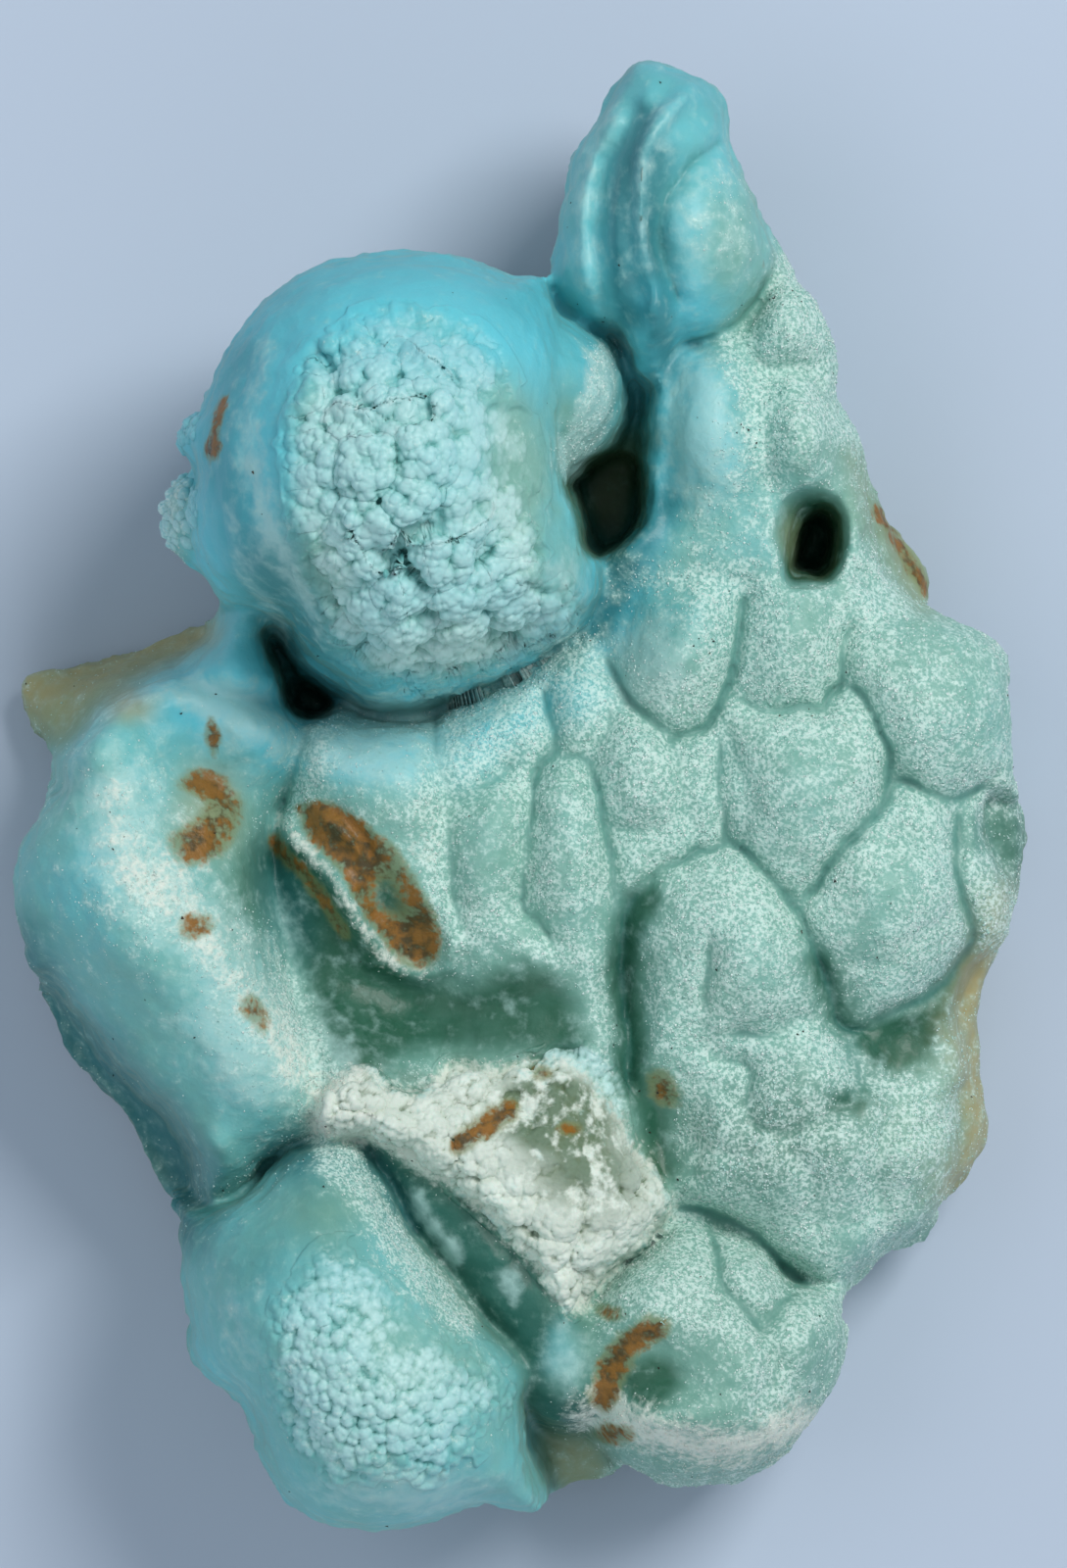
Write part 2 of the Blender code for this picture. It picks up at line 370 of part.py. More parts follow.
POPCORN = (
    (-13.2, 41.0), (-17.2, 38.6), (-18.9, 34.4), (-19.7, 30.4), (-19.5, 25.9), (-17.8, 22.6), (-16.0, 18.6),
    (-14.6, 14.8), (-12.7, 11.4), (-8.7, 9.3), (-4.4, 9.6), (-1.9, 10.2), (1.5, 12.3), (4.2, 14.4),
    (3.9, 16.6), (1.6, 19.2), (0.4, 22.0), (0.4, 26.5), (-0.4, 31.5), (-1.9, 36.6), (-4.4, 39.8),
    (-8.7, 41.8),
)
LOWER_POPCORN = (
    (-18.0, -41.0), (-14.0, -40.5), (-10.0, -44.0), (-5.0, -49.0), (-1.5, -51.0), (-3.0, -55.0),
    (-6.0, -57.5), (-10.0, -59.0), (-15.0, -58.0), (-19.0, -54.0), (-20.0, -48.0),
)
CRUST_FIELD = (
    (-16.0, -27.0), (-14.0, -23.6), (-7.0, -22.8), (2.0, -21.5), (7.5, -23.0), (9.2, -28.0), (12.0, -34.0),
    (8.0, -40.0), (4.5, -44.0), (0.5, -38.0), (-5.0, -31.5),
)

PATCHES = (
    Patch(3.2, 1.5, POPCORN),
    Patch(2.6, 0.8, LOWER_POPCORN),
    Patch(2.8, 1.0, CRUST_FIELD),
)


def smooth_line(points, closed, per_span):
    """Points of a smooth curve through the given ones."""
    p = np.array(points, float)
    if closed:
        a, b, c, d = (np.roll(p, k, axis=0) for k in (1, 0, -1, -2))
    else:
        ends = np.vstack([2 * p[0] - p[1], p, 2 * p[-1] - p[-2]])
        a, b, c, d = ends[:-3], ends[1:-2], ends[2:-1], ends[3:]
    t = (np.arange(per_span) / per_span)[None, :, None]
    a, b, c, d = (q[:, None, :] for q in (a, b, c, d))
    cubic = (3 * b - 3 * c + d - a) * t**3
    out = 0.5 * (2 * b + (c - a) * t + (2 * a - 5 * b + 4 * c - d) * t**2 + cubic)
    out = out.reshape(-1, 2)
    return out if closed else np.vstack([out, p[-1]])


def line_distance(x, y, line, closed=False):
    """Distance from each place to a line of points."""
    best = np.full(x.shape, FAR**2)
    starts = line if closed else line[:-1]
    ends = np.roll(line, -1, axis=0) if closed else line[1:]
    for (ax, ay), (bx, by) in zip(starts, ends):
        dx, dy = bx - ax, by - ay
        t = np.clip(((x - ax) * dx + (y - ay) * dy) / (dx * dx + dy * dy), 0, 1)
        best = np.minimum(best, (x - ax - t * dx) ** 2 + (y - ay - t * dy) ** 2)
    return np.sqrt(best)


def is_inside(x, y, line):
    """True where a place lies inside the closed line."""
    found = np.zeros(x.shape, bool)
    for (ax, ay), (bx, by) in zip(line, np.roll(line, -1, axis=0)):
        if ay != by:
            crosses = (ay > y) != (by > y)
            found ^= crosses & (x < (bx - ax) * (y - ay) / (by - ay) + ax)
    return found


def depth_inside(x, y, outline):
    """Distance in from a smooth closed outline, negative outside it."""
    line = smooth_line(outline, True, CURVE_STEPS)
    away = line_distance(x, y, line, closed=True)
    return np.where(is_inside(x, y, line), away, -away)


def blur(field, radius, step):
    """The map smoothed with a Gaussian of this radius."""
    pad = int(3 * radius / step) + 2
    big = np.pad(field, pad, mode="edge")
    fy = np.fft.fftfreq(big.shape[0], step)[:, None]
    fx = np.fft.rfftfreq(big.shape[1], step)[None, :]
    gain = np.exp(-2 * (np.pi * radius) ** 2 * (fx**2 + fy**2))
    out = np.fft.irfft2(np.fft.rfft2(big) * gain, s=big.shape)
    return out[pad:-pad, pad:-pad]


def ease(low, high, value):
    """A smooth rise from 0 at low to 1 at high."""
    t = np.clip((value - low) / (high - low), 0, 1)
    return t * t * (3 - 2 * t)


def wobble(x, y, size, seed):
    """Smooth noise from -1 to 1 on the plane, its lumps about this size."""
    n = NOISE_CELLS
    table = np.random.default_rng(seed).uniform(-1, 1, (n, n))
    u, v = x / size, y / size
    i, j = np.floor(u).astype(int), np.floor(v).astype(int)
    a, b = ease(0, 1, u - i), ease(0, 1, v - j)
    low = table[i % n, j % n] * (1 - a) + table[(i + 1) % n, j % n] * a
    high = table[i % n, (j + 1) % n] * (1 - a) + table[(i + 1) % n, (j + 1) % n] * a
    return low * (1 - b) + high * b


def wobble_3d(points, size, seed):
    """Smooth noise from -1 to 1 at points in space, its lumps about this size."""
    n = NOISE_CELLS_3D
    table = np.random.default_rng(seed).uniform(-1, 1, (n, n, n))
    cell = np.floor(points / size).astype(int)
    f = ease(0, 1, points / size - cell)
    total = np.zeros(len(points))
    for corner in np.ndindex(2, 2, 2):
        at = (cell + corner) % n
        weight = np.prod(np.where(corner, f, 1 - f), axis=1)
        total += weight * table[at[:, 0], at[:, 1], at[:, 2]]
    return total


def soft_max(a, b, seam):
    """The higher of two maps, rounded over the seam where they meet."""
    h = np.clip(0.5 + 0.5 * (a - b) / seam, 0, 1)
    return b * (1 - h) + a * h + seam * h * (1 - h)


def relax(drain, domain, step, rounds, start):
    """Swell a skin that is held down at the domain's edge and by the drain, by over-relaxation."""
    swollen = np.where(domain, start, 0.0)
    centre = 1.0 / (4.0 + drain * step * step)
    rows, columns = np.indices(domain.shape)
    halves = [domain & ((rows + columns) % 2 == k) for k in (0, 1)]
    for turn in range(rounds):
        push = PUSH if CALM_ROUNDS <= turn < rounds - CALM_ROUNDS else 1
        for cells in halves:
            around = np.zeros_like(swollen)
            around[1:] += swollen[:-1]
            around[:-1] += swollen[1:]
            around[:, 1:] += swollen[:, :-1]
            around[:, :-1] += swollen[:, 1:]
            change = (around + step * step) * centre - swollen
            swollen = np.where(cells, swollen + push * change, swollen)
    return swollen


def swell_skin(drain, domain, step):
    """The swollen skin, worked out on a coarse grid first and then on finer ones."""
    if step >= COARSEST_STEP:
        return relax(drain, domain, step, COARSE_ROUNDS, np.zeros(domain.shape))
    coarse = swell_skin(drain[::2, ::2], domain[::2, ::2], step * 2)
    start = np.repeat(np.repeat(coarse, 2, axis=0), 2, axis=1)
    return relax(drain, domain, step, FINE_ROUNDS, start[:domain.shape[0], :domain.shape[1]])


def layer_top(x, y, step, layer, rim):
    """Height of one growth over the whole face: a dome inside its outline, a steep wall outside."""
    depth = np.minimum(depth_inside(x, y, layer.edge), rim)
    domain = depth > 0
    rows, columns = np.flatnonzero(domain.any(axis=1)), np.flatnonzero(domain.any(axis=0))
    window = np.s_[rows[0] - 1:rows[-1] + 2, columns[0] - 1:columns[-1] + 2]
    skin = np.zeros_like(depth)
    skin[window] = swell_skin(np.full(domain[window].shape, layer.span**-2), domain[window], step)
    dome = np.sqrt(skin / skin.max())
    tilt = layer.lean[0] * (x - x[domain].mean()) + layer.lean[1] * (y - y[domain].mean())
    outside = np.minimum(depth, 0) * WALL_SLOPE
    return layer.foot + tilt + layer.rise * dome + outside


def swell_height(x, y, swell):
    """Height of one gentle bump or hollow."""
    turn = np.radians(swell.turn)
    dx, dy = x - swell.x, y - swell.y
    u = (dx * np.cos(turn) + dy * np.sin(turn)) / swell.along
    v = (dy * np.cos(turn) - dx * np.sin(turn)) / swell.across
    return swell.rise * (1 - np.clip(u * u + v * v, 0, 1)) ** 2


def ridge_height(x, y, ridge):
    """Height of one ridge or groove."""
    away = line_distance(x, y, smooth_line(ridge.line, False, CURVE_STEPS))
    return ridge.rise * np.exp(-((away / ridge.width) ** 2))


def crease_pull(x, y, crease, uneven):
    """How strongly one crease holds the swelling down: unevenly along it, and fading at its ends."""
    away = line_distance(x, y, smooth_line(crease.line, False, CURVE_STEPS))
    tip = np.full(x.shape, FAR)
    for end_x, end_y in (crease.line[0], crease.line[-1]):
        tip = np.minimum(tip, np.hypot(x - end_x, y - end_y))
    strength = crease.strength * uneven * ease(-CREASE_END, CREASE_FADE, tip)
    return CREASE_PULL * strength**2 * np.exp(-((away / CREASE_WIDTH) ** 2))


def crease_depth(x, y, step, rim):
    """How far the creases sink the face: the cells between them swell up like pillows."""
    drain = np.full(x.shape, CREASE_SHOULDER**-2)
    uneven = 1 + CREASE_UNEVENNESS * wobble(x, y, CREASE_PATCH, 7)
    for crease in CREASES:
        drain += crease_pull(x, y, crease, uneven)
    skin = swell_skin(drain, rim > -MAP_MARGIN, step)
    pillow = np.sqrt(np.clip(skin * CREASE_SHOULDER**-2, 0, 1))
    return CREASE_DEPTH * (1 - pillow)


class Relief:
    """The face and the underside as two height maps on one grid, in millimetres."""

    def __init__(self, step):
        """Work the maps out on a grid of this step."""
        self.step = step
        self.left, self.low = -WIDTH / 2 - MAP_MARGIN, -LENGTH / 2 - MAP_MARGIN
        xs = np.arange(self.left, -self.left + step, step)
        ys = np.arange(self.low, -self.low + step, step)
        x, y = np.meshgrid(xs, ys)
        self.rim = depth_inside(x, y, SILHOUETTE)
        bent_x, bent_y = x.copy(), y.copy()
        for number, (size, reach) in enumerate(WANDER):
            bent_x += reach * wobble(x, y, size, 2 * number + 1)
            bent_y += reach * wobble(x, y, size, 2 * number + 2)
        self.face = blur(self.face_height(bent_x, bent_y), FACE_SOFTNESS, step)
        self.under = self.underside_height(x, y)

    def face_height(self, x, y):
        """Height of the grown face."""
        face = layer_top(x, y, self.step, LAYERS[0], self.rim)
        for layer in LAYERS[1:]:
            face = soft_max(layer_top(x, y, self.step, layer, self.rim), face, layer.seam)
        for swell in SWELLS:
            face += swell_height(x, y, swell)
        for ridge in RIDGES:
            face += ridge_height(x, y, ridge)
        face -= crease_depth(x, y, self.step, self.rim)
        for window in WINDOWS:
            depth = depth_inside(x, y, window.edge) + self.step
            face -= np.clip(window.slope * depth, 0, window.depth)
        return np.maximum(face, BASE_FOOT)

    def underside_height(self, x, y):
        """Height of the broken back: flat in the middle, curving up to the rim all round."""
        band = (self.rim > 0) & (self.rim < 2 * self.step)
        share = blur(band.astype(float), RIM_SMOOTHING, self.step)
        edge = blur(np.where(band, self.face, 0), RIM_SMOOTHING, self.step)
        edge = np.clip(edge / np.maximum(share, 1 / FAR**2), BASE_FOOT, KNOB_TOP)
        wander = 1 + UNDERCUT_WANDER * wobble(x, y, UNDERCUT_PATCH, 5)
        inward = np.clip(self.rim / (UNDERCUT_LEAST + UNDERCUT_SHARE * edge * wander), 0, 1)
        under = (edge - RIM_THICKNESS) * (1 - np.sqrt(1 - (1 - inward) ** 2))
        lifted = HORN_LIFT_SLOPE * (y - HORN_LIFT_START)
        return np.clip(np.maximum(under, lifted), 0, self.face - RIM_THICKNESS)

    def sample(self, field, x, y):
        """Values of a map between its grid points."""
        u = (x - self.left) / self.step
        v = (y - self.low) / self.step
        i = np.clip(u.astype(int), 0, field.shape[1] - 2)
        j = np.clip(v.astype(int), 0, field.shape[0] - 2)
        a, b = u - i, v - j
        near = field[j, i] * (1 - a) + field[j, i + 1] * a
        far = field[j + 1, i] * (1 - a) + field[j + 1, i + 1] * a
        return near * (1 - b) + far * b


def clear_scene():
    """Remove whatever the scene holds."""
    for item in list(bpy.data.objects):
        bpy.data.objects.remove(item, do_unlink=True)


def new_collection(name):
    """A collection linked to the scene."""
    made = bpy.data.collections.new(name)
    bpy.context.scene.collection.children.link(made)
    return made


def stone_material():
    """Blue-green stone, finely rough."""
    material = bpy.data.materials.new("aragonite_stone")
    material.use_nodes = True
    surface = material.node_tree.nodes["Principled BSDF"]
    surface.inputs["Base Color"].default_value = (0.31, 0.58, 0.57, 1)
    surface.inputs["Roughness"].default_value = 0.55
    surface.inputs["Metallic"].default_value = 0.0
    return material


def baked_mesh(source, name):
    """The source as its modifiers leave it, as a mesh of its own; the source is removed."""
    graph = bpy.context.evaluated_depsgraph_get()
    mesh = bpy.data.meshes.new_from_object(source.evaluated_get(graph))
    mesh.name = name
    bpy.data.objects.remove(source, do_unlink=True)
    return mesh


def outline_slab(collection):
    """The silhouette as a flat slab, evenly divided."""
    curve = bpy.data.curves.new("outline", "CURVE")
    curve.dimensions = "2D"
    curve.fill_mode = "BOTH"
    curve.extrude = SLAB_THICKNESS / 2 * MM
    line = smooth_line(SILHOUETTE, True, CURVE_STEPS) * MM
    spline = curve.splines.new("POLY")
    spline.points.add(len(line) - 1)
    spline.points.foreach_set("co", np.column_stack([line, np.zeros(len(line)), np.ones(len(line))]).ravel())
    spline.use_cyclic_u = True
    outline = bpy.data.objects.new("outline", curve)
    collection.objects.link(outline)
    slab = bpy.data.objects.new("slab", baked_mesh(outline, "slab"))
    collection.objects.link(slab)
    divide(slab, SLAB_VOXEL)
    return baked_mesh(slab, "aragonite")


def divide(item, voxel):
    """Add a modifier that rebuilds the surface from even cells of this size in millimetres."""
    remesh = item.modifiers.new("even_skin", "REMESH")
    remesh.mode = "VOXEL"
    remesh.voxel_size = voxel * MM


def get_points(mesh):
    """The mesh's points in millimetres."""
    points = np.empty(len(mesh.vertices) * 3, np.float32)
    mesh.vertices.foreach_get("co", points)
    return points.reshape(-1, 3).astype(float) / MM


def set_points(mesh, points):
    """Move the mesh's points to these places in millimetres."""
    mesh.vertices.foreach_set("co", (points * MM).astype(np.float32).ravel())
    mesh.update()


def get_normals(mesh):
    """The direction that the surface faces at each point."""
    normals = np.empty(len(mesh.vertices) * 3, np.float32)
    mesh.vertices.foreach_get("normal", normals)
    return normals.reshape(-1, 3).astype(float)


def settle(mesh, relief):
    """Stretch the flat slab between the underside and the face."""
    points = get_points(mesh)
    share = np.clip(points[:, 2] / SLAB_THICKNESS + 0.5, 0, 1)
    under = relief.sample(relief.under, points[:, 0], points[:, 1])
    face = relief.sample(relief.face, points[:, 0], points[:, 1])
    points[:, 2] = under + share * (face - under)
    set_points(mesh, points)


def grain_height(points, normals, patch, seed):
    """Height of the round grains that stand on a patch of the face."""
    depth = depth_inside(points[:, 0], points[:, 1], patch.edge)
    height = np.zeros(len(points))
    inside = np.flatnonzero((depth > 0) & (normals[:, 2] > 0))
    order = np.random.default_rng(seed).permutation(inside)
    kept = spaced_points(points, order, patch.spacing)
    radius = patch.spacing * GRANULE_RADIUS_SHARE
    for centre in points[kept]:
        away = ((points[inside] - centre) ** 2).sum(axis=1)
        ball = np.sqrt(np.clip(radius**2 - away, 0, None)) / radius
        height[inside] = np.maximum(height[inside], ball)
    fade = np.clip(depth / patch.spacing, 0, 1)
    return patch.height * fade * (height - GRANULE_SUNK)


def spaced_points(points, order, spacing):
    """Indices of points that lie at least the spacing apart, taken in the given order."""
    kept = []
    blocked = np.zeros(len(points), bool)
    for index in order:
        if not blocked[index]:
            kept.append(index)
            away = ((points[order] - points[index]) ** 2).sum(axis=1)
            blocked[order[away < spacing**2]] = True
    return kept


def roughen(mesh):
    """Raise the grains on the face and break up the sides and the back."""
    points, normals = get_points(mesh), get_normals(mesh)
    broken = ease(-BREAK_TURN, BREAK_TURN, -normals[:, 2])
    above_base = np.clip(points[:, 2] / ROUGH_FROM, 0, 1)
    grain = wobble_3d(points, BREAK_GRAIN, 12)
    break_up = BREAK_HEIGHT * np.abs(wobble_3d(points, BREAK_SIZE, 11)) + BREAK_GRAIN_HEIGHT * grain
    shift = broken * above_base * break_up
    shift += (1 - broken) * FACE_HEIGHT * (grain + wobble_3d(points, FACE_SIZE, 13))
    for seed, patch in enumerate(PATCHES, start=21):
        shift += grain_height(points, normals, patch, seed)
    set_points(mesh, points + normals * shift[:, None])


def flat_base(stone, cutters):
    """Cut the back flat where the specimen rests, with a box below it."""
    depth = SLAB_THICKNESS
    bpy.ops.mesh.primitive_cube_add(size=1)
    box = bpy.context.object
    box.name = "base_cutter"
    box.dimensions = (2 * WIDTH * MM, 2 * LENGTH * MM, depth * MM)
    box.location = (0, 0, -depth / 2 * MM)
    for owner in list(box.users_collection):
        owner.objects.unlink(box)
    cutters.objects.link(box)
    bpy.ops.object.transform_apply(location=True, rotation=False, scale=True)
    box.hide_render = True
    box.display_type = "WIRE"
    cut = stone.modifiers.new("flat_base", "BOOLEAN")
    cut.operation = "DIFFERENCE"
    cut.solver = "EXACT"
    cut.object = box


def centre_on_base(mesh):
    """Put the middle of the outline over the origin, and the back a cut's depth below it."""
    points = get_points(mesh)
    low, high = points.min(axis=0), points.max(axis=0)
    points[:, :2] -= (low + high)[:2] / 2
    points[:, 2] -= BASE_CUT
    set_points(mesh, points)


def build():
    """Make the specimen."""
    clear_scene()
    parts = new_collection("aragonite_specimen")
    cutters = new_collection("cutters")
    relief = Relief(MAP_STEP)
    mesh = outline_slab(parts)
    settle(mesh, relief)
    rough = bpy.data.objects.new("rough", mesh)
    parts.objects.link(rough)
    divide(rough, SKIN_VOXEL)
    mesh = baked_mesh(rough, "aragonite")
    roughen(mesh)
    centre_on_base(mesh)
    mesh.materials.clear()
    mesh.materials.append(stone_material())
    mesh.shade_smooth()
    stone = bpy.data.objects.new("aragonite", mesh)
    parts.objects.link(stone)
    thin = stone.modifiers.new("fewer_faces", "DECIMATE")
    triangles = sum(len(face.vertices) - 2 for face in mesh.polygons)
    thin.ratio = KEPT_TRIANGLES / triangles
    flat_base(stone, cutters)
    print("skin triangles", triangles)


build()
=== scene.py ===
"""Looks of an aragonite specimen: its fine skin, crystal grains, finishes, light and camera.

The stone is one growth of knobs, cells and lobes on a thin plate. Sizes below are millimetres in the
part's own frame, seen from above: X to the right, Y towards the horn's tip, Z up out of the face.
"""

import logging
from dataclasses import dataclass
from enum import Enum
from typing import Any

import bmesh
import bpy
import numpy as np
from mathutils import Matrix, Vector, kdtree


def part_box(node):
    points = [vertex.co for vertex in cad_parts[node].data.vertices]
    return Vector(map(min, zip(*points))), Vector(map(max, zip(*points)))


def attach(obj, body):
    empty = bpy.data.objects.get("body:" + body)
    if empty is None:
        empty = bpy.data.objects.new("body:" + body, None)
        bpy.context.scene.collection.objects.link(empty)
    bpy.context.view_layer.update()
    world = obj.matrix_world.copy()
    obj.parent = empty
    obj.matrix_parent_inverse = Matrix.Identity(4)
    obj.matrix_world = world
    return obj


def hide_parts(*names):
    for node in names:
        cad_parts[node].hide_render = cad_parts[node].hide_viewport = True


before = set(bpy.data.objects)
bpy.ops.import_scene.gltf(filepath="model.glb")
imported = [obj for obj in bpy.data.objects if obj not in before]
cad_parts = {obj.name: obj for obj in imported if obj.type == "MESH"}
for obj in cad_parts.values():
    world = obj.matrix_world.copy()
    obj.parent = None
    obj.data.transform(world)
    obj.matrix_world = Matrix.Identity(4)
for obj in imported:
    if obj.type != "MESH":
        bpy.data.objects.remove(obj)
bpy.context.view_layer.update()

MM = 0.001
REFRACTION = 1.6
NODE = "aragonite"
BODY = "root"

Outline = tuple[tuple[float, float], ...]
Colour = tuple[float, float, float, float]
Grid = np.ndarray

log = logging.getLogger("aragonite")


class Mask(Enum):
    """What varies over the stone, with the painted shade and painted light laid on it, each kept as a value
    from 0 to 1 on the skin's points.
    """

    BLUE = "blue"
    # Painted shade: a darker teal laid in the horn's grooves, the troughs beside the knob, the knob's foot
    # and left side, and the shaded lower edges.
    TEAL_SHADE = "deep"
    # The stone's own dark green, and painted shade where it is laid along valleys, holes and the low plate's
    # edge.
    JADE_AND_SHADE = "jade_and_shade"
    OLIVE = "olive"
    TAN = "tan"
    FROST = "frost"
    CRUST = "crust"
    STAIN = "stain"
    CRACK = "crack"
    DIP = "dip"
    BROKEN = "broken"
    # The whiter tops of the balls, partly their own white and partly painted light on the tops.
    PUFF = "white_lit_tips"
    # Painted shade in the clefts between the coatings' balls.
    CLEFT_SHADE = "cleft_shade"
    # A pale film on the stone, and painted light where it lightens slopes in the knob's shadow and the lower
    # lobe's bottom edge.
    FILM_AND_LIGHT = "film_and_light"


@dataclass(frozen=True)
class Growth:
    """One growth of the stone: an outline that swells up from its foot."""

    name: str
    foot: float
    rise: float
    span: float
    lean: tuple[float, float]
    seam: float
    tints: dict[Mask, float]
    edge: Outline


@dataclass(frozen=True)
class Swell:
    """A gentle bump, or with a negative rise a hollow."""

    x: float
    y: float
    along: float
    across: float
    turn: float
    rise: float


@dataclass(frozen=True)
class Crease:
    """A crease between two cells of the face."""

    strength: float
    line: Outline


@dataclass(frozen=True)
class Ridge:
    """A rounded ridge, or with a negative rise a groove, along a line."""

    rise: float
    width: float
    line: Outline


@dataclass(frozen=True)
class Hole:
    """A hole in the face: how steep its wall is, how deep it goes, and its outline."""

    slope: float
    depth: float
    edge: Outline


@dataclass(frozen=True)
class Level:
    """Balls of one size in a coating: how far apart they sit and how high they stand."""

    spacing: float
    height: float


@dataclass(frozen=True)
class Coat:
    """A coating of balls within balls: where it lies, how it swells, and the room the skin leaves for it."""

    name: str
    edge: Outline
    spacing: float
    levels: tuple[Level, ...]
    calm: tuple[Swell, ...]
    reach: float
    fade: float
    ragged: float
    lowered: float
    room: float
    seed: int


@dataclass(frozen=True)
class Bloom:
    """A soft oval of a tint."""

    gain: float
    x: float
    y: float
    along: float
    across: float
    turn: float = 0.0


@dataclass(frozen=True)
class Wash:
    """A tint inside an outline, with a soft edge."""

    gain: float
    softness: float
    edge: Outline


@dataclass(frozen=True)
class Streak:
    """A tint along a line."""

    gain: float
    width: float
    line: Outline


@dataclass(frozen=True)
class Lamp:
    """A soft square light: its place and side in millimetres, its power in watts and its colour."""

    name: str
    place: tuple[float, float, float]
    size: float
    power: float
    colour: tuple[float, float, float]


SILHOUETTE: Outline = (
    (-43.1, 9.9), (-41.2, 10.8), (-38, 10.9), (-35.6, 11.4), (-33, 12.6), (-30.4, 13.9), (-27.8, 14.8),
    (-26, 15.6), (-25.6, 17.2), (-27, 19.2), (-29, 20.6), (-30.3, 22.8), (-30.5, 25), (-29.6, 26.8),
    (-28.3, 27.6), (-28.2, 29), (-28.9, 30.4), (-28.2, 31.9), (-27, 32.8), (-26.2, 35.4), (-24.8, 38),
    (-23.2, 40.4), (-21.4, 42.6), (-18.4, 44.6), (-14, 45.9), (-10, 46.2), (-6, 46), (-3.2, 45.1),
    (-0.8, 44), (0.8, 44.1), (1.9, 44.2), (2.9, 45.4), (3.3, 48), (3.6, 50.5), (4.4, 53.2), (5.6, 56.2),
    (7.2, 59), (8.8, 61.6), (9.7, 62.7), (11.4, 62.8), (13.6, 61.9), (15.6, 60.9), (16.9, 59.8),
    (17.4, 57.6), (18, 55.2), (19, 52.6), (20.4, 50.2), (21.9, 47.4), (23.2, 44.9), (24.8, 42.8),
    (26.2, 40), (26.8, 37), (26.9, 34.2), (28, 32.4), (29, 29.6), (29.8, 26.4), (31.2, 23.8), (33.4, 21.7),
    (35, 19), (34.9, 16.2), (37, 15), (39.4, 14.1), (41.2, 11.8), (41.8, 8.4), (41.9, 4.6), (42.4, 0.8),
    (43.2, -2.8), (43, -6.4), (42.2, -10), (41, -13.2), (39.6, -16.6), (39.1, -20.4), (39.2, -24),
    (40.1, -27.6), (39.4, -31), (37.4, -33.4), (36, -34.6), (35.2, -37), (32.8, -38.6), (30.4, -39.8),
    (28.2, -41.8), (27.4, -44), (27.7, -46.8), (26.9, -50), (25.2, -53.2), (22.4, -56.3), (20, -58),
    (17, -58.8), (13, -58.8), (10.2, -57.8), (8.8, -57.3), (7.2, -58.7), (4.4, -59.4), (2.2, -60.4),
    (0.8, -61.1), (-1.6, -60.6), (-4.4, -60.7), (-7.4, -61.7), (-10.6, -62.7), (-14.2, -62.8), (-17.6, -62),
    (-20.2, -60), (-22, -57.2), (-22.6, -54.2), (-24, -51.4), (-26.6, -49.8), (-28.1, -47.6),
    (-28.1, -44.8), (-28.9, -42), (-29.1, -38.8), (-29.1, -36), (-30.6, -33.8), (-32.2, -31.6),
    (-33.8, -28.2), (-36.2, -24.8), (-39.2, -22), (-40.2, -19), (-41.4, -16.2), (-42.4, -13), (-43.2, -9.6),
    (-43.2, -6.4), (-41.9, -3.4), (-40.4, -0.6), (-40.3, 1.8), (-40.1, 3.8), (-41.2, 5.8), (-42.5, 7.9),
)

POPCORN: Outline = (
    (-13.2, 40.6), (-17.2, 38.2), (-18.9, 34.4), (-19.7, 30.4), (-19.9, 25.9), (-19, 22), (-17.8, 18.2),
    (-16.4, 14.4), (-14.6, 11.2), (-8.9, 8.9), (-4.4, 9.7), (-1.9, 10.5), (1.7, 12.9), (4.4, 15.2),
    (4.2, 16.8), (2.2, 19.6), (1.4, 22.4), (1.4, 26.5), (0.4, 31.5), (-1.5, 36.6), (-4.4, 39.8),
    (-8.7, 41.4),
)

LOWER_POPCORN: Outline = (
    (-18.6, -41), (-16.5, -38.4), (-13.8, -38.6), (-11.6, -40.6), (-9.4, -44), (-7, -46.4), (-4, -47.4),
    (-1.6, -48.6), (-1, -51.6), (-3, -54.8), (-7, -57.6), (-11.5, -58.8), (-15.8, -58.2), (-19, -55.4),
    (-20.8, -51), (-21, -46.6), (-20.2, -43),
)

CRUST: Outline = (
    (-16.6, -25.4), (-15, -23.6), (-13.2, -23.2), (-11.8, -24.2), (-10, -25.6), (-8.2, -25), (-7, -22.6),
    (-5, -21.9), (-2.4, -22.4), (0.2, -21.9), (3, -20.9), (5.8, -21.2), (7.9, -23), (8.9, -25.6),
    (9.4, -28.6), (10.9, -31), (12.4, -33.2), (12.6, -35.4), (11, -38), (8, -40.2), (6.2, -42),
    (5.2, -44.4), (3.6, -44.6), (2.1, -42), (-0.2, -39), (-2.6, -36.8), (-5.2, -34.6), (-8, -32.4),
    (-11, -30.6), (-14, -29.2), (-16.8, -28.8),
)

HOLLOW: Outline = (
    (-20, -5), (-17, -7), (-12, -14), (-6, -16), (-2, -15), (2, -14.6), (4.5, -18), (4.5, -22), (-8, -22),
    (-15, -24), (-18.6, -16),
)

LOW_PLATE: Outline = (
    (-43.5, -13), (-40.5, -19.5), (-36, -23.8), (-32.2, -28.2), (-29.6, -31.5), (-28.6, -36),
)

CREST: Outline = (
    (-34.6, 0), (-33, -6), (-28, -10.6), (-24, -16.4), (-20, -22.1), (-17.2, -25.4),
)

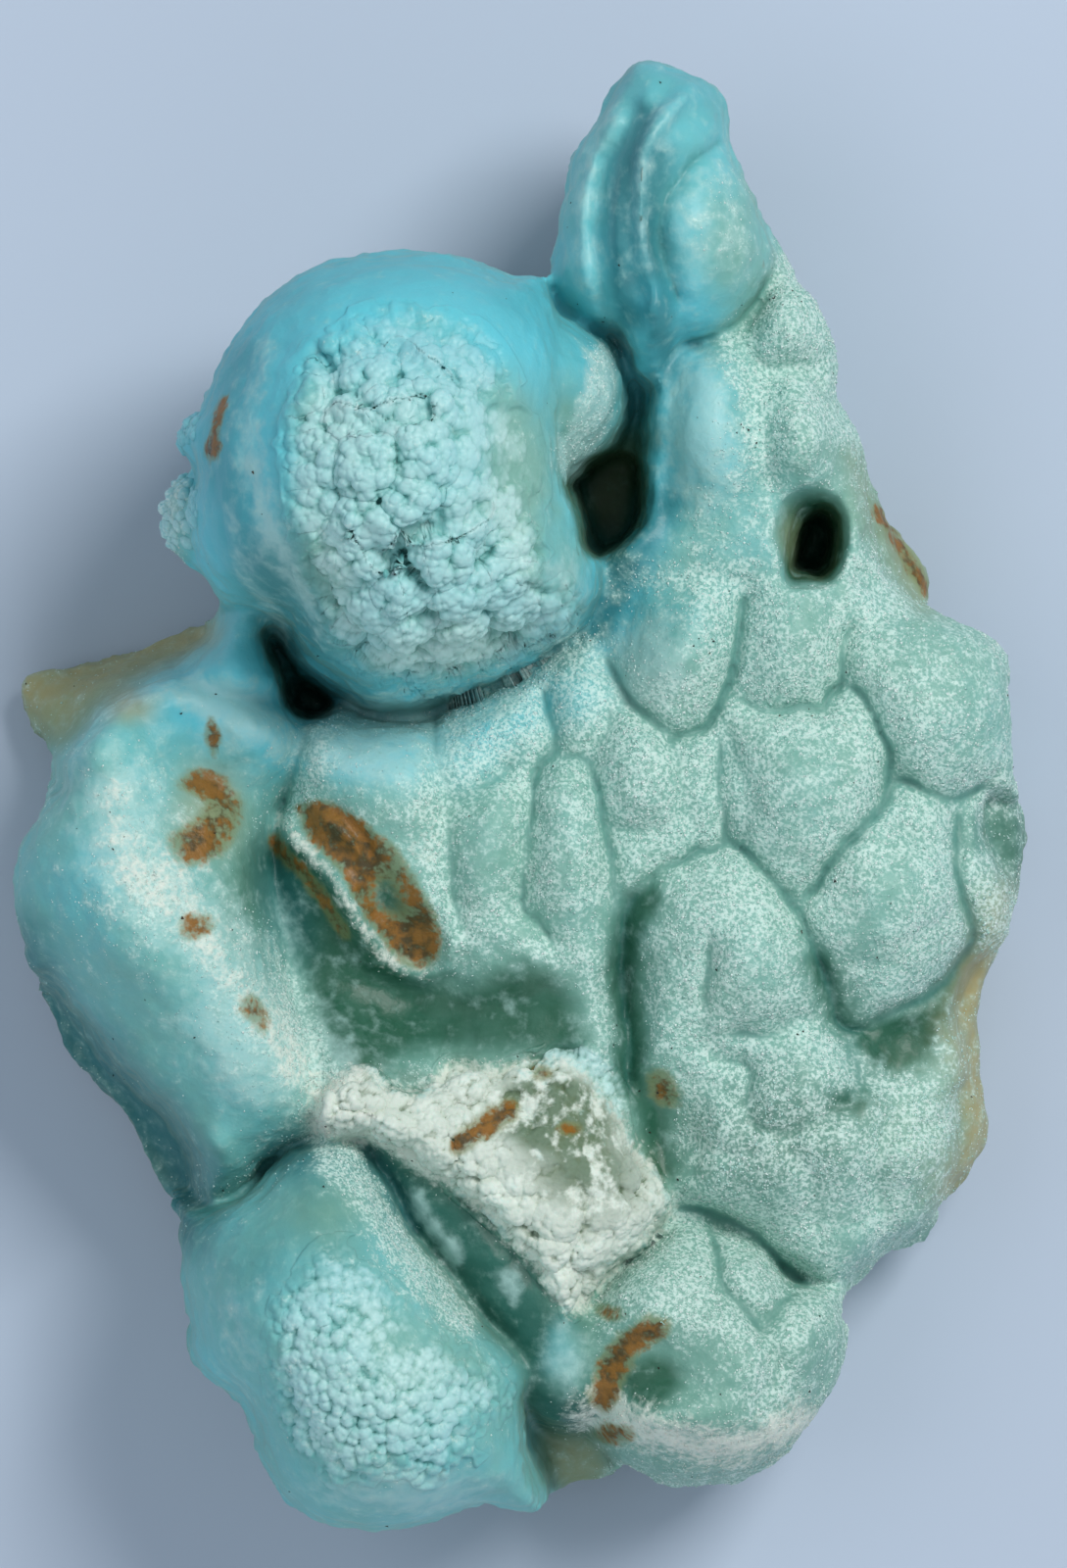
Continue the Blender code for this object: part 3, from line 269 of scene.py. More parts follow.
GROWTHS: tuple[Growth, ...] = (
    Growth("back_plate", 5, 4.5, 4, (0.06, 0.02), 0.5,
        {Mask.OLIVE: 0.9, Mask.JADE_AND_SHADE: 0.3, Mask.FROST: 0.25}, (
        (-60, -80), (60, -80), (60, 80), (-60, 80))),
    Growth("shelf", 10, 6.5, 5, (0.02, 0.05), 2.5, {Mask.JADE_AND_SHADE: 0.4, Mask.FROST: 0.4, Mask.BLUE: 0.1}, (
        (26, 36), (29.5, 27), (33, 19), (36, 14), (50, 6), (50, -40), (33, -45), (24, -47), (8, -54),
        (2, -48), (-6, -38), (-14, -27), (-22, -24), (-24, 2), (-16, 8), (4, 10), (9, 20), (11, 34),
        (20, 42))),
    Growth("neck", 12, 15, 6, (-0.1, 0.35), 1.5, {Mask.BLUE: 1}, (
        (-30.2, 10), (-25.6, 8), (-19.5, 7.2), (-18.2, 10.4), (-21, 14), (-21, 22), (-30, 22),
        (-26.8, 14.6), (-28.2, 12))),
    Growth("cell_plate", 17, 8.5, 6, (-0.03, 0.05), 1.2,
        {Mask.BLUE: 0.14, Mask.FROST: 0.75, Mask.FILM_AND_LIGHT: 0.22}, (
        (-17.5, 6.5), (-20.6, -2), (-21.5, -12), (-18.8, -19), (-16.5, -27), (-6, -30), (4, -34),
        (12, -37.5), (18, -37), (22.4, -41), (27, -41.8), (31, -38.6), (34.8, -35.8), (36.9, -31.8),
        (37, -27), (38.2, -23), (37.4, -18.6), (38.4, -15.2), (41, -11.6), (41.9, -8.4), (40.8, -5.8),
        (39.6, -3), (39.9, -0.4), (41.4, 0.2), (50, 2), (50, 16), (36, 15.6), (33, 17), (30, 21.4),
        (28.8, 26), (28.4, 30.6), (26.9, 34.4), (27.4, 38.6), (24.6, 43.4), (22, 47.4), (19, 46), (14, 42),
        (10.8, 38), (11.1, 34), (10.6, 28), (9.6, 23), (6.4, 20), (4, 13), (-6, 7), (-12, 6))),
    Growth("left_bulge", 17, 9.5, 9, (-0.12, 0), 3, {Mask.BLUE: 0.4, Mask.FROST: 0.22}, (
        (-30.5, 10.2), (-26, 9.8), (-21.5, 8.4), (-17.6, 6.4), (-19.6, 0.4), (-20.6, -3), (-20.4, -10),
        (-18.8, -17), (-16.8, -22), (-16.4, -26.4), (-17.2, -29.4), (-20.6, -30.6), (-23, -31.4),
        (-24.2, -34), (-26.6, -35.6), (-27.2, -32), (-28.6, -28.4), (-32, -24.6), (-35.6, -21.2),
        (-38, -17.6), (-41, -14.8), (-50, -12), (-50, -1), (-40.2, -0.4), (-38.4, 3), (-35.6, 6.2))),
    # The crust wall's share of darker teal is painted shade on its steep face.
    Growth("crust_wall", 19.5, 5, 4, (0.16, 0.1), 1, {Mask.JADE_AND_SHADE: 1.1, Mask.TEAL_SHADE: 0.3}, (
        (-17.2, -28.4), (-15.4, -31.2), (-13, -34.4), (-10.8, -38.2), (-7.8, -42), (-4.8, -45.6),
        (-1.8, -49.2), (0.6, -52.2), (4.4, -53.4), (7.4, -51), (6.6, -46), (4, -42), (0, -37), (-4, -32),
        (-10, -27))),
    Growth("lower_left_lobe", 19, 18.5, 30, (0.04, 0), 0.4, {Mask.BLUE: 0.48, Mask.FROST: 0.15}, (
        (-17.4, -29.4), (-14.8, -29), (-12.2, -31), (-10.4, -34), (-9.2, -37), (-6.4, -40.2), (-3.2, -44),
        (-0.6, -47), (0.7, -49.4), (-0.1, -53), (0.4, -57), (1.4, -61.2), (0, -70), (-30, -70), (-40, -44),
        (-32, -37), (-26.4, -35.6), (-23.6, -34.4), (-21.2, -31.6))),
    Growth("lower_right_lobe", 14, 14, 12, (0, 0.02), 1.8, {Mask.JADE_AND_SHADE: 0.2, Mask.FROST: 0.7}, (
        (1.8, -47.4), (4, -43.6), (7.6, -40.4), (10.6, -38.2), (12.6, -36), (15.6, -36), (19.4, -37.4),
        (22.4, -40.8), (25.4, -42), (34, -44), (34, -66), (12, -66), (8.6, -57.2), (6.8, -54.8), (5.2, -52),
        (2.8, -50.2))),
    Growth("white_crust", 21, 7, 3, (-0.12, -0.14), 0.6, {Mask.CRUST: 1, Mask.FROST: 0.5, Mask.OLIVE: 0.3},
        CRUST),
    Growth("horn", 23, 10.5, 6.5, (0, 0.12), 1, {Mask.BLUE: 0.6, Mask.FILM_AND_LIGHT: 0.2}, (
        (10.7, 35.6), (8.6, 39.4), (6.6, 40.4), (4, 41.2), (2.2, 43.4), (-2, 50), (4, 70), (20, 70),
        (19.2, 52.6), (20.6, 49.2), (21.4, 46.4), (20.8, 43.8), (19.2, 41.6), (17.2, 40), (14.6, 39.2),
        (12.4, 37.6))),
    Growth("ear", 20, 15, 60, (-0.2, 0.1), 2.6, {Mask.BLUE: 0.55, Mask.JADE_AND_SHADE: 0.15}, (
        (-4, 43), (3, 41.6), (6, 40.3), (7.9, 38.4), (8.9, 35.8), (8.9, 33.2), (7.8, 30.8), (5.8, 28.8),
        (3.8, 27.2), (0, 25))),
    Growth("knob", 29, 23, 60, (0, 0), 0.6, {Mask.BLUE: 1}, (
        (-25.6, 17), (-27.4, 20), (-28, 24), (-27.4, 28.6), (-32, 34), (-24, 60), (0, 50), (1.6, 43.4),
        (2.6, 41), (3.6, 37), (3.4, 32), (3.4, 28), (4.2, 24.6), (5.2, 22), (6, 20.4), (6.2, 18.2),
        (5.4, 16.4), (3.2, 14.2), (0.7, 12.6), (-2.2, 11.4), (-6.2, 10.5), (-10, 9.7), (-13.2, 9.8),
        (-15.2, 10.7), (-16.8, 11.8), (-18.4, 13.5), (-20.4, 15.4), (-23.2, 16.7))),
    Growth("left_wart", 25, 5, 60, (0, 0), 0.3, {Mask.BLUE: 0.5, Mask.FROST: 0.5}, (
        (-27, 20.6), (-26.9, 24), (-27.6, 27.2), (-34, 28), (-34, 19))),
    Growth("upper_wart", 26, 5, 60, (0, 0), 0.3, {Mask.BLUE: 0.5, Mask.FROST: 0.5}, (
        (-27.2, 28.6), (-26, 30), (-26.4, 32.4), (-34, 34), (-34, 28))),
)

SWELLS: tuple[Swell, ...] = (
    Swell(24.5, 0, 9, 10, 0, 3.4),
    Swell(35, 8, 9, 9, 0, 2.8),
    Swell(31.5, -8.5, 9, 10, 0, 3.4),
    Swell(19, -13, 9, 11, 20, 4),
    Swell(13, 13, 7, 8, 0, 2.4),
    Swell(23, 13.5, 5, 6, 0, 1.6),
    Swell(4.2, -4, 4.5, 9, 0, 2),
    Swell(-3, -4, 5, 7, 0, 1.6),
    Swell(-11, 2, 7, 7, 0, 2.4),
    Swell(10.5, 2, 5, 7, 0, 1.6),
    Swell(16, 32, 6, 10, 0, 3.4),
    Swell(24, 31.2, 5, 6.2, 0, 4.4),
    Swell(23, 40.4, 4.6, 4.6, 0, 3),
    Swell(-11, -16.5, 14, 9, -18, -6),
    Swell(2.5, -18.5, 7, 5.5, 0, -2),
    Swell(-19, -10, 6, 12, 0, -3),
    Swell(-27.6, 1.2, 6, 5, 10, -1.8),
    Swell(-23, 4.4, 5, 4.4, 0, 2.2),
    Swell(-33, -13, 7, 5, -50, 1.2),
    Swell(-11.6, -8.2, 7, 3.2, -52, -2.2),
    Swell(24, -30, 13, 8, 0, 2.5),
    Swell(24, -24, 6, 4.5, 0, 1.2),
    Swell(33, -22, 5.5, 5.5, 0, -2.4),
    Swell(34, -30.5, 5, 5, 0, 1.2),
    Swell(12.4, -29, 5, 8, 0, -3.4),
    Swell(9.2, -17, 3.6, 8, 0, -1.8),
    Swell(12, -48.4, 8, 5, 10, -2.4),
    Swell(15, -53.6, 11, 3.6, -4, 1.4),
    Swell(19.4, -40.6, 3.4, 5, 20, 1.2),
    Swell(24.2, -45.6, 3.6, 4.6, 10, 1.2),
    Swell(10.6, -42, 5, 4, 30, 1.6),
    Swell(9.5, 15, 5, 8, -40, -2.4),
    Swell(-0.5, -26, 6, 3.6, 10, -1.8),
    Swell(-11, 14, 8, 5, 20, 1.2),
    Swell(-8, 27, 12, 15, 0, 1),
)

RIDGES: tuple[Ridge, ...] = (
    Ridge(5.2, 9.5, ((-38, 0), (-34.5, -6), (-29, -12), (-24, -18), (-20, -24.5))),
    Ridge(4, 3, ((-36.5, 5), (-33, 8.6), (-28, 9), (-23, 7.4), (-18, 4))),
    Ridge(1.6, 0.9, ((-20.2, -2.6), (-19, -4.4), (-16.7, -6.8), (-14.6, -10.9), (-12, -14), (-9, -15.6),
        (-6.7, -14.6), (-6, -12.6))),
    Ridge(1.1, 0.5, ((-17, -1.6), (-15.2, -3.2), (-13.4, -5.2))),
    Ridge(-0.9, 0.45, ((-16.4, -0.8), (-14.4, -2.6), (-12.8, -4.8))),
    Ridge(-0.8, 2.2, ((-20.4, 37), (-22.2, 31), (-21.8, 25), (-19, 18), (-15.6, 12))),
    Ridge(0.8, 0.7, ((8, 58), (6.8, 56), (6, 53.3), (5.6, 50.6), (5.3, 47.9), (5.4, 43.6))),
    Ridge(-1.3, 0.8, ((9.2, 58.6), (7.9, 56), (7, 53), (6.5, 50.1), (6.4, 46.5), (6.8, 42.9), (8.3, 40.4))),
    Ridge(1.5, 1.1, ((14.2, 60.4), (11.5, 57), (10.3, 53.8), (10, 50.1), (10.4, 46.5), (11.3, 43.3),
        (11.8, 40))),
    Ridge(-0.5, 0.5, ((16, 59), (12.9, 57), (11.3, 53.8), (11, 50.1), (11.5, 46.5), (12.2, 43))),
    Ridge(2.2, 1.5, ((11.2, 40.8), (11.2, 36.8), (11.3, 32.4), (10.9, 28), (10.2, 24), (9.2, 20.8))),
    Ridge(0.2, 0.8, ((11, 61.4), (9.3, 58.3), (8.1, 54.2), (7.7, 50.1), (7.6, 46.5), (8.8, 42.4),
        (10.6, 39.4))),
    Ridge(-0.8, 0.6, ((12.4, 60.6), (10.4, 57.4), (9.3, 54.2), (9, 50.1), (9.2, 46.5), (10.2, 42.9),
        (11.2, 40.4))),
    Ridge(0.9, 0.8, ((20.8, 44.6), (19.4, 42.6), (17.4, 40.8), (15, 40))),
    Ridge(1.6, 1.4, ((-26, -29.8), (-25.6, -32), (-26.4, -34.4))),
    Ridge(-1.4, 2.2, ((27.6, -19.2), (31.4, -21), (35.4, -18.8), (38.6, -15.2))),
    Ridge(-1, 2.2, ((9.4, -11), (9.2, -17), (9.6, -23), (12, -29))),
    Ridge(1.4, 1.6, ((-33, -22.6), (-29.6, -26), (-27.6, -29.6))),
    Ridge(-0.8, 0.7, ((-15.5, 32), (-13.6, 31.4), (-12, 31.5), (-10, 32.3), (-8.3, 32.5))),
    Ridge(-1.1, 0.9, ((-13, 22), (-11.8, 20.2), (-9.6, 19.8), (-8.6, 17), (-8, 14), (-8, 9.4))),
    Ridge(-0.9, 0.8, ((-8.8, 21.4), (-6.6, 22.4), (-4.6, 23), (-2.5, 24.2))),
    Ridge(-0.7, 0.7, ((-10.5, 38.5), (-9.2, 37), (-8, 36), (-6.4, 35.2))),
    Ridge(-0.7, 0.7, ((-4.2, 12), (-3, 13.4), (-1.6, 15), (0, 16.4))),
    Ridge(0.6, 0.8, ((-8.8, -34.4), (-7.4, -36.8), (-5.4, -39.6))),
    Ridge(0.5, 0.9, ((-14.6, -27.6), (-10, -28.6), (-5.6, -31.4), (-2, -35), (0.8, -38.6), (3.2, -42.6))),
)

CREASES: tuple[Crease, ...] = (
    Crease(0.8, ((-14, 8.2), (-10, 8.3), (-6, 9), (-2.4, 9.9), (1.2, 11.2), (3.8, 12.9), (5.8, 14.8))),
    Crease(2.2, ((6.8, 12.6), (7.6, 11.2), (8.6, 9.2), (10.2, 7), (12, 5.6), (13.4, 5))),
    Crease(2.4, ((18.9, 18), (18.6, 15.4), (18, 12.6), (17.9, 10.6), (17, 8.4), (15.8, 6.2), (14.6, 5.6),
        (13.4, 5), (12.6, 4))),
    Crease(2, ((16.4, 5.4), (16.6, 3), (16.4, 0.6), (17, -1.8), (17.2, -3.4), (16, -4.2), (14.6, -4.4),
        (14, -5.6))),
    Crease(2.4, ((17.2, -3.4), (19, -4.6), (20.8, -6.6), (22.4, -8.6), (23.6, -9.8), (24.4, -12.4),
        (25.8, -15), (26.6, -18), (27.6, -19.8), (30, -19.8))),
    Crease(2.2, ((23.6, -9.2), (25.4, -7.4), (26.6, -5.2), (28.2, -3.4), (30.4, -1.2), (31.4, 0.6),
        (31.4, 3), (30.4, 5.2), (29.8, 7.4), (28.6, 9.4), (27.4, 9.6))),
    Crease(2.4, ((31.4, 1.6), (33.6, 1.2), (36, 0.2), (38, 0), (40.4, 0.8))),
    Crease(1.8, ((18, 8.6), (19.4, 8), (21, 7.2), (23.4, 7.3), (25.6, 7.4), (26, 8.8), (27.4, 9.6),
        (27.6, 12), (28, 14.2), (29, 15))),
    Crease(1.4, ((31.2, -1.4), (32.6, -2.6), (34.4, -3.8), (36.2, -4.4))),
    Crease(2.4, ((37.4, -0.4), (37.4, -3.4), (37, -6.2), (37.6, -8.8), (38.4, -11.4), (38, -13.4),
        (36.6, -15.6), (34.4, -17.4), (31.8, -18.6), (30, -19.8))),
    Crease(1, ((31.8, -13.2), (33.6, -12), (35.4, -10.6), (36.6, -9.4))),
    Crease(2, ((10.2, -8), (11.2, -6.8), (12.6, -6), (14, -5), (14.8, -4), (16, -4.2))),
    Crease(1.5, ((13.2, 5.2), (13.3, 3.4), (13.8, 0), (14.4, -2.4), (14.8, -4))),
    Crease(1.3, ((17.3, 6.8), (17.9, 4.6), (18.2, 3), (19.2, 0), (19.4, -2.6), (18.6, -4.4))),
    Crease(1.2, ((16.4, 3.2), (17.2, 3.2), (18.2, 3.4))),
    Crease(2.6, ((10.2, -8), (9, -9.4), (8.6, -12), (8.8, -16), (8.6, -19), (9.2, -22), (9.8, -26))),
    Crease(1.9, ((16.2, -11.4), (16, -14), (15.8, -16.6), (15.9, -19.2))),
    Crease(1.2, ((16.2, -10.8), (18, -10.4), (20, -9.4))),
    Crease(1.7, ((17, -20.4), (19, -19.8), (21.2, -20.2), (23.4, -19.4), (26, -19.6))),
    Crease(1.8, ((-7.6, 8.2), (-7.4, 5), (-7, 2), (-6.6, 0), (-6.5, -3), (-6, -6), (-5.6, -9),
        (-5.2, -12))),
    Crease(1.6, ((-6.6, -0.4), (-5, 0.2), (-3.2, 1), (-1.2, 2.2), (0, 3.4))),
    Crease(2, ((1.4, 9.8), (2, 7.6), (2.8, 5.2), (2.4, 3.4), (1.2, 1.6), (1, -1.4), (0.6, -4.6),
        (0.2, -7.4), (0.2, -9.6), (1.4, -10.8), (2.4, -12.2), (3.4, -13.4))),
    Crease(2.2, ((2.6, 3.6), (4.2, 3.8), (5.4, 3.2), (6.2, 1.2), (6.8, -1.4), (7.4, -4), (8, -7),
        (8.6, -9.6))),
    Crease(1.6, ((5.2, 3.8), (6.6, 4.6), (7.4, 6), (7.2, 8.4))),
    Crease(1.5, ((7, -2.2), (8.4, -2.6), (10, -3), (12.4, -2.5))),
    Crease(2.2, ((12.8, -35.4), (15, -35.4), (17.6, -36), (20, -37.2), (22, -39.6), (23.4, -41.2),
        (25.4, -42.2))),
    Crease(2.2, ((12.4, -35.6), (11.4, -37.6), (9.2, -39.4), (7, -40.8), (5.8, -42.6), (5, -44.4))),
    Crease(2, ((16.2, -36.8), (16.6, -39.6), (17.4, -42.4), (19.2, -44.4), (20.6, -46.6))),
    Crease(1.8, ((20.6, -46.6), (21, -44.8), (22.2, -43.4), (23.8, -42))),
    Crease(1.7, ((-17.4, -29.6), (-14.6, -28.9), (-12.4, -31), (-10.6, -34), (-9.4, -37), (-6.6, -40.4),
        (-3.4, -44.2), (-0.8, -47.2))),
    Crease(2, ((-17.4, -29.6), (-20.6, -30.9), (-22.4, -32), (-24, -34.2), (-26.4, -35.8), (-28.6, -36.2))),
    Crease(1.6, ((-17.8, 6), (-19.4, 1.6), (-20.6, -1), (-21.2, -2.4))),
    Crease(1.1, ((-21.2, -2.4), (-20.8, -9.8), (-18.9, -18), (-17, -24.6))),
    Crease(2.2, ((21.4, 45), (20.4, 43), (19, 41.2), (17.2, 40), (15.2, 39.2), (13.2, 38.8))),
    Crease(1.9, ((17.6, 56.4), (16, 55), (14.4, 53.6), (12.9, 51.6), (12.1, 48.6), (12.2, 46), (12.9, 43.4),
        (13.4, 41))),
    Crease(0.9, ((7.6, 55.6), (7, 52.6), (6.5, 49), (6.4, 46), (6.9, 42))),
    Crease(1.3, ((5.6, 41), (4, 41.6), (2.6, 43))),
    Crease(1, ((5, 49), (4.8, 46.6), (4.9, 44.2))),
    Crease(0.8, ((12.2, 37.4), (12.6, 34), (12.4, 30), (12, 26), (11.4, 22.6))),
    Crease(1.5, ((18.2, 38.4), (20.2, 37.2), (23.4, 36.4), (25.4, 35), (26.9, 32.6))),
    Crease(0.9, ((19.2, 37.6), (19.4, 35.4), (20, 32.5), (20.6, 28.9), (21.4, 26.4), (22, 25.3))),
    Crease(1.5, ((18.6, 39.6), (19.8, 41), (21.4, 43.4))),
    Crease(1.2, ((14.2, 39), (15.6, 37.4), (18.2, 38.4))),
    Crease(1, ((13, 18.2), (15, 18.6), (17, 18.2), (19, 18.2), (20.8, 18.4))),
    Crease(1, ((28, 20.4), (29.4, 18.6), (31, 17), (32.8, 15.8))),
    Crease(1.5, ((15.8, -20.8), (17.4, -22.4), (19, -22.4), (19.8, -24.6), (19.6, -27.4), (21.6, -28.6),
        (24.4, -28.2), (27.2, -26.6), (28.6, -24), (28.2, -21.2))),
    Crease(1.1, ((14.6, -24.4), (17, -25), (19.4, -26.2))),
    Crease(1.3, ((28.6, -24), (30.6, -24.8), (32, -26.8), (31, -29.6), (30.4, -32.8), (31.2, -36.6))),
    Crease(1.1, ((21.6, -28.6), (23.4, -31.4), (25, -34), (25.2, -38.2))),
    Crease(1.1, ((14, -28), (16, -30.2), (19, -30.4), (20.4, -29))),
    Crease(1, ((31.4, -29), (34.4, -28.6), (36.8, -27.2))),
    Crease(1.3, ((21.4, -46.6), (21.6, -49), (20.6, -51.6))),
    Crease(0.9, ((18, -42.6), (15, -43.6), (12.6, -43), (10.4, -44))),
    Crease(0.8, ((0.8, 24.6), (3, 24.8), (4.4, 25.2))),
)

HOLES: tuple[Hole, ...] = (
    Hole(2.4, 6.5, (
        (22.6, 25.4), (24.4, 26.4), (26.6, 25.8), (27.9, 23.6), (27.9, 20.8), (26.6, 18.6), (24.4, 18.1),
        (22.2, 18.4), (21.8, 21.4), (22, 23.8))),
    Hole(8, 11, (
        (24.8, 24.8), (26, 25.1), (27.2, 23.5), (27.4, 20.8), (26.3, 18.8), (24, 18.2), (22.4, 18.9),
        (23, 22))),
    Hole(14, 14, (
        (3.7, 27.6), (6, 29), (8.4, 29.6), (10.1, 28.8), (10.4, 26), (9.9, 22.9), (8.2, 20.9), (6.4, 20.3),
        (5, 22.1), (4, 25.2))),
    Hole(12, 12, (
        (-22.4, 14.4), (-21.3, 13.8), (-19.4, 11), (-17.8, 9.2), (-16.6, 7.8), (-16.8, 6.7), (-18, 6.4),
        (-19.7, 7.4), (-20.2, 9.2), (-21.5, 12.2))),
)

COATS: tuple[Coat, ...] = (
    Coat("popcorn_knob", POPCORN, 0.095, (Level(4.6, 1.9), Level(2.1, 0.7), Level(0.9, 0.32)),
        (Swell(-0.6, 30, 7.6, 12, 0, 0.85), Swell(-9, 41, 12, 7.5, 0, 0.7),
        Swell(-18, 24, 3.5, 12, 20, 0.3)), 1.3, 3, 1.6, 1.1, 2.8, 21),
    Coat("popcorn_lobe", LOWER_POPCORN, 0.11, (Level(3.4, 0.4), Level(1.15, 0.55), Level(0.6, 0.1)),
        (Swell(-10, -45.8, 5.4, 4.6, -20, 0.95), Swell(-15, -38, 6, 4, 0, 0.5)), 1.4, 3.2, 2.4, 0.35, 1.2,
        31),
    Coat("white_crust", CRUST, 0.115, (Level(3.2, 1.1), Level(1.35, 0.42), Level(0.55, 0.16)),
        (Swell(5, -30, 9, 11, -30, 0.75),), 0.3, 0.9, 0.5, 0.5, 1.7, 41),
)

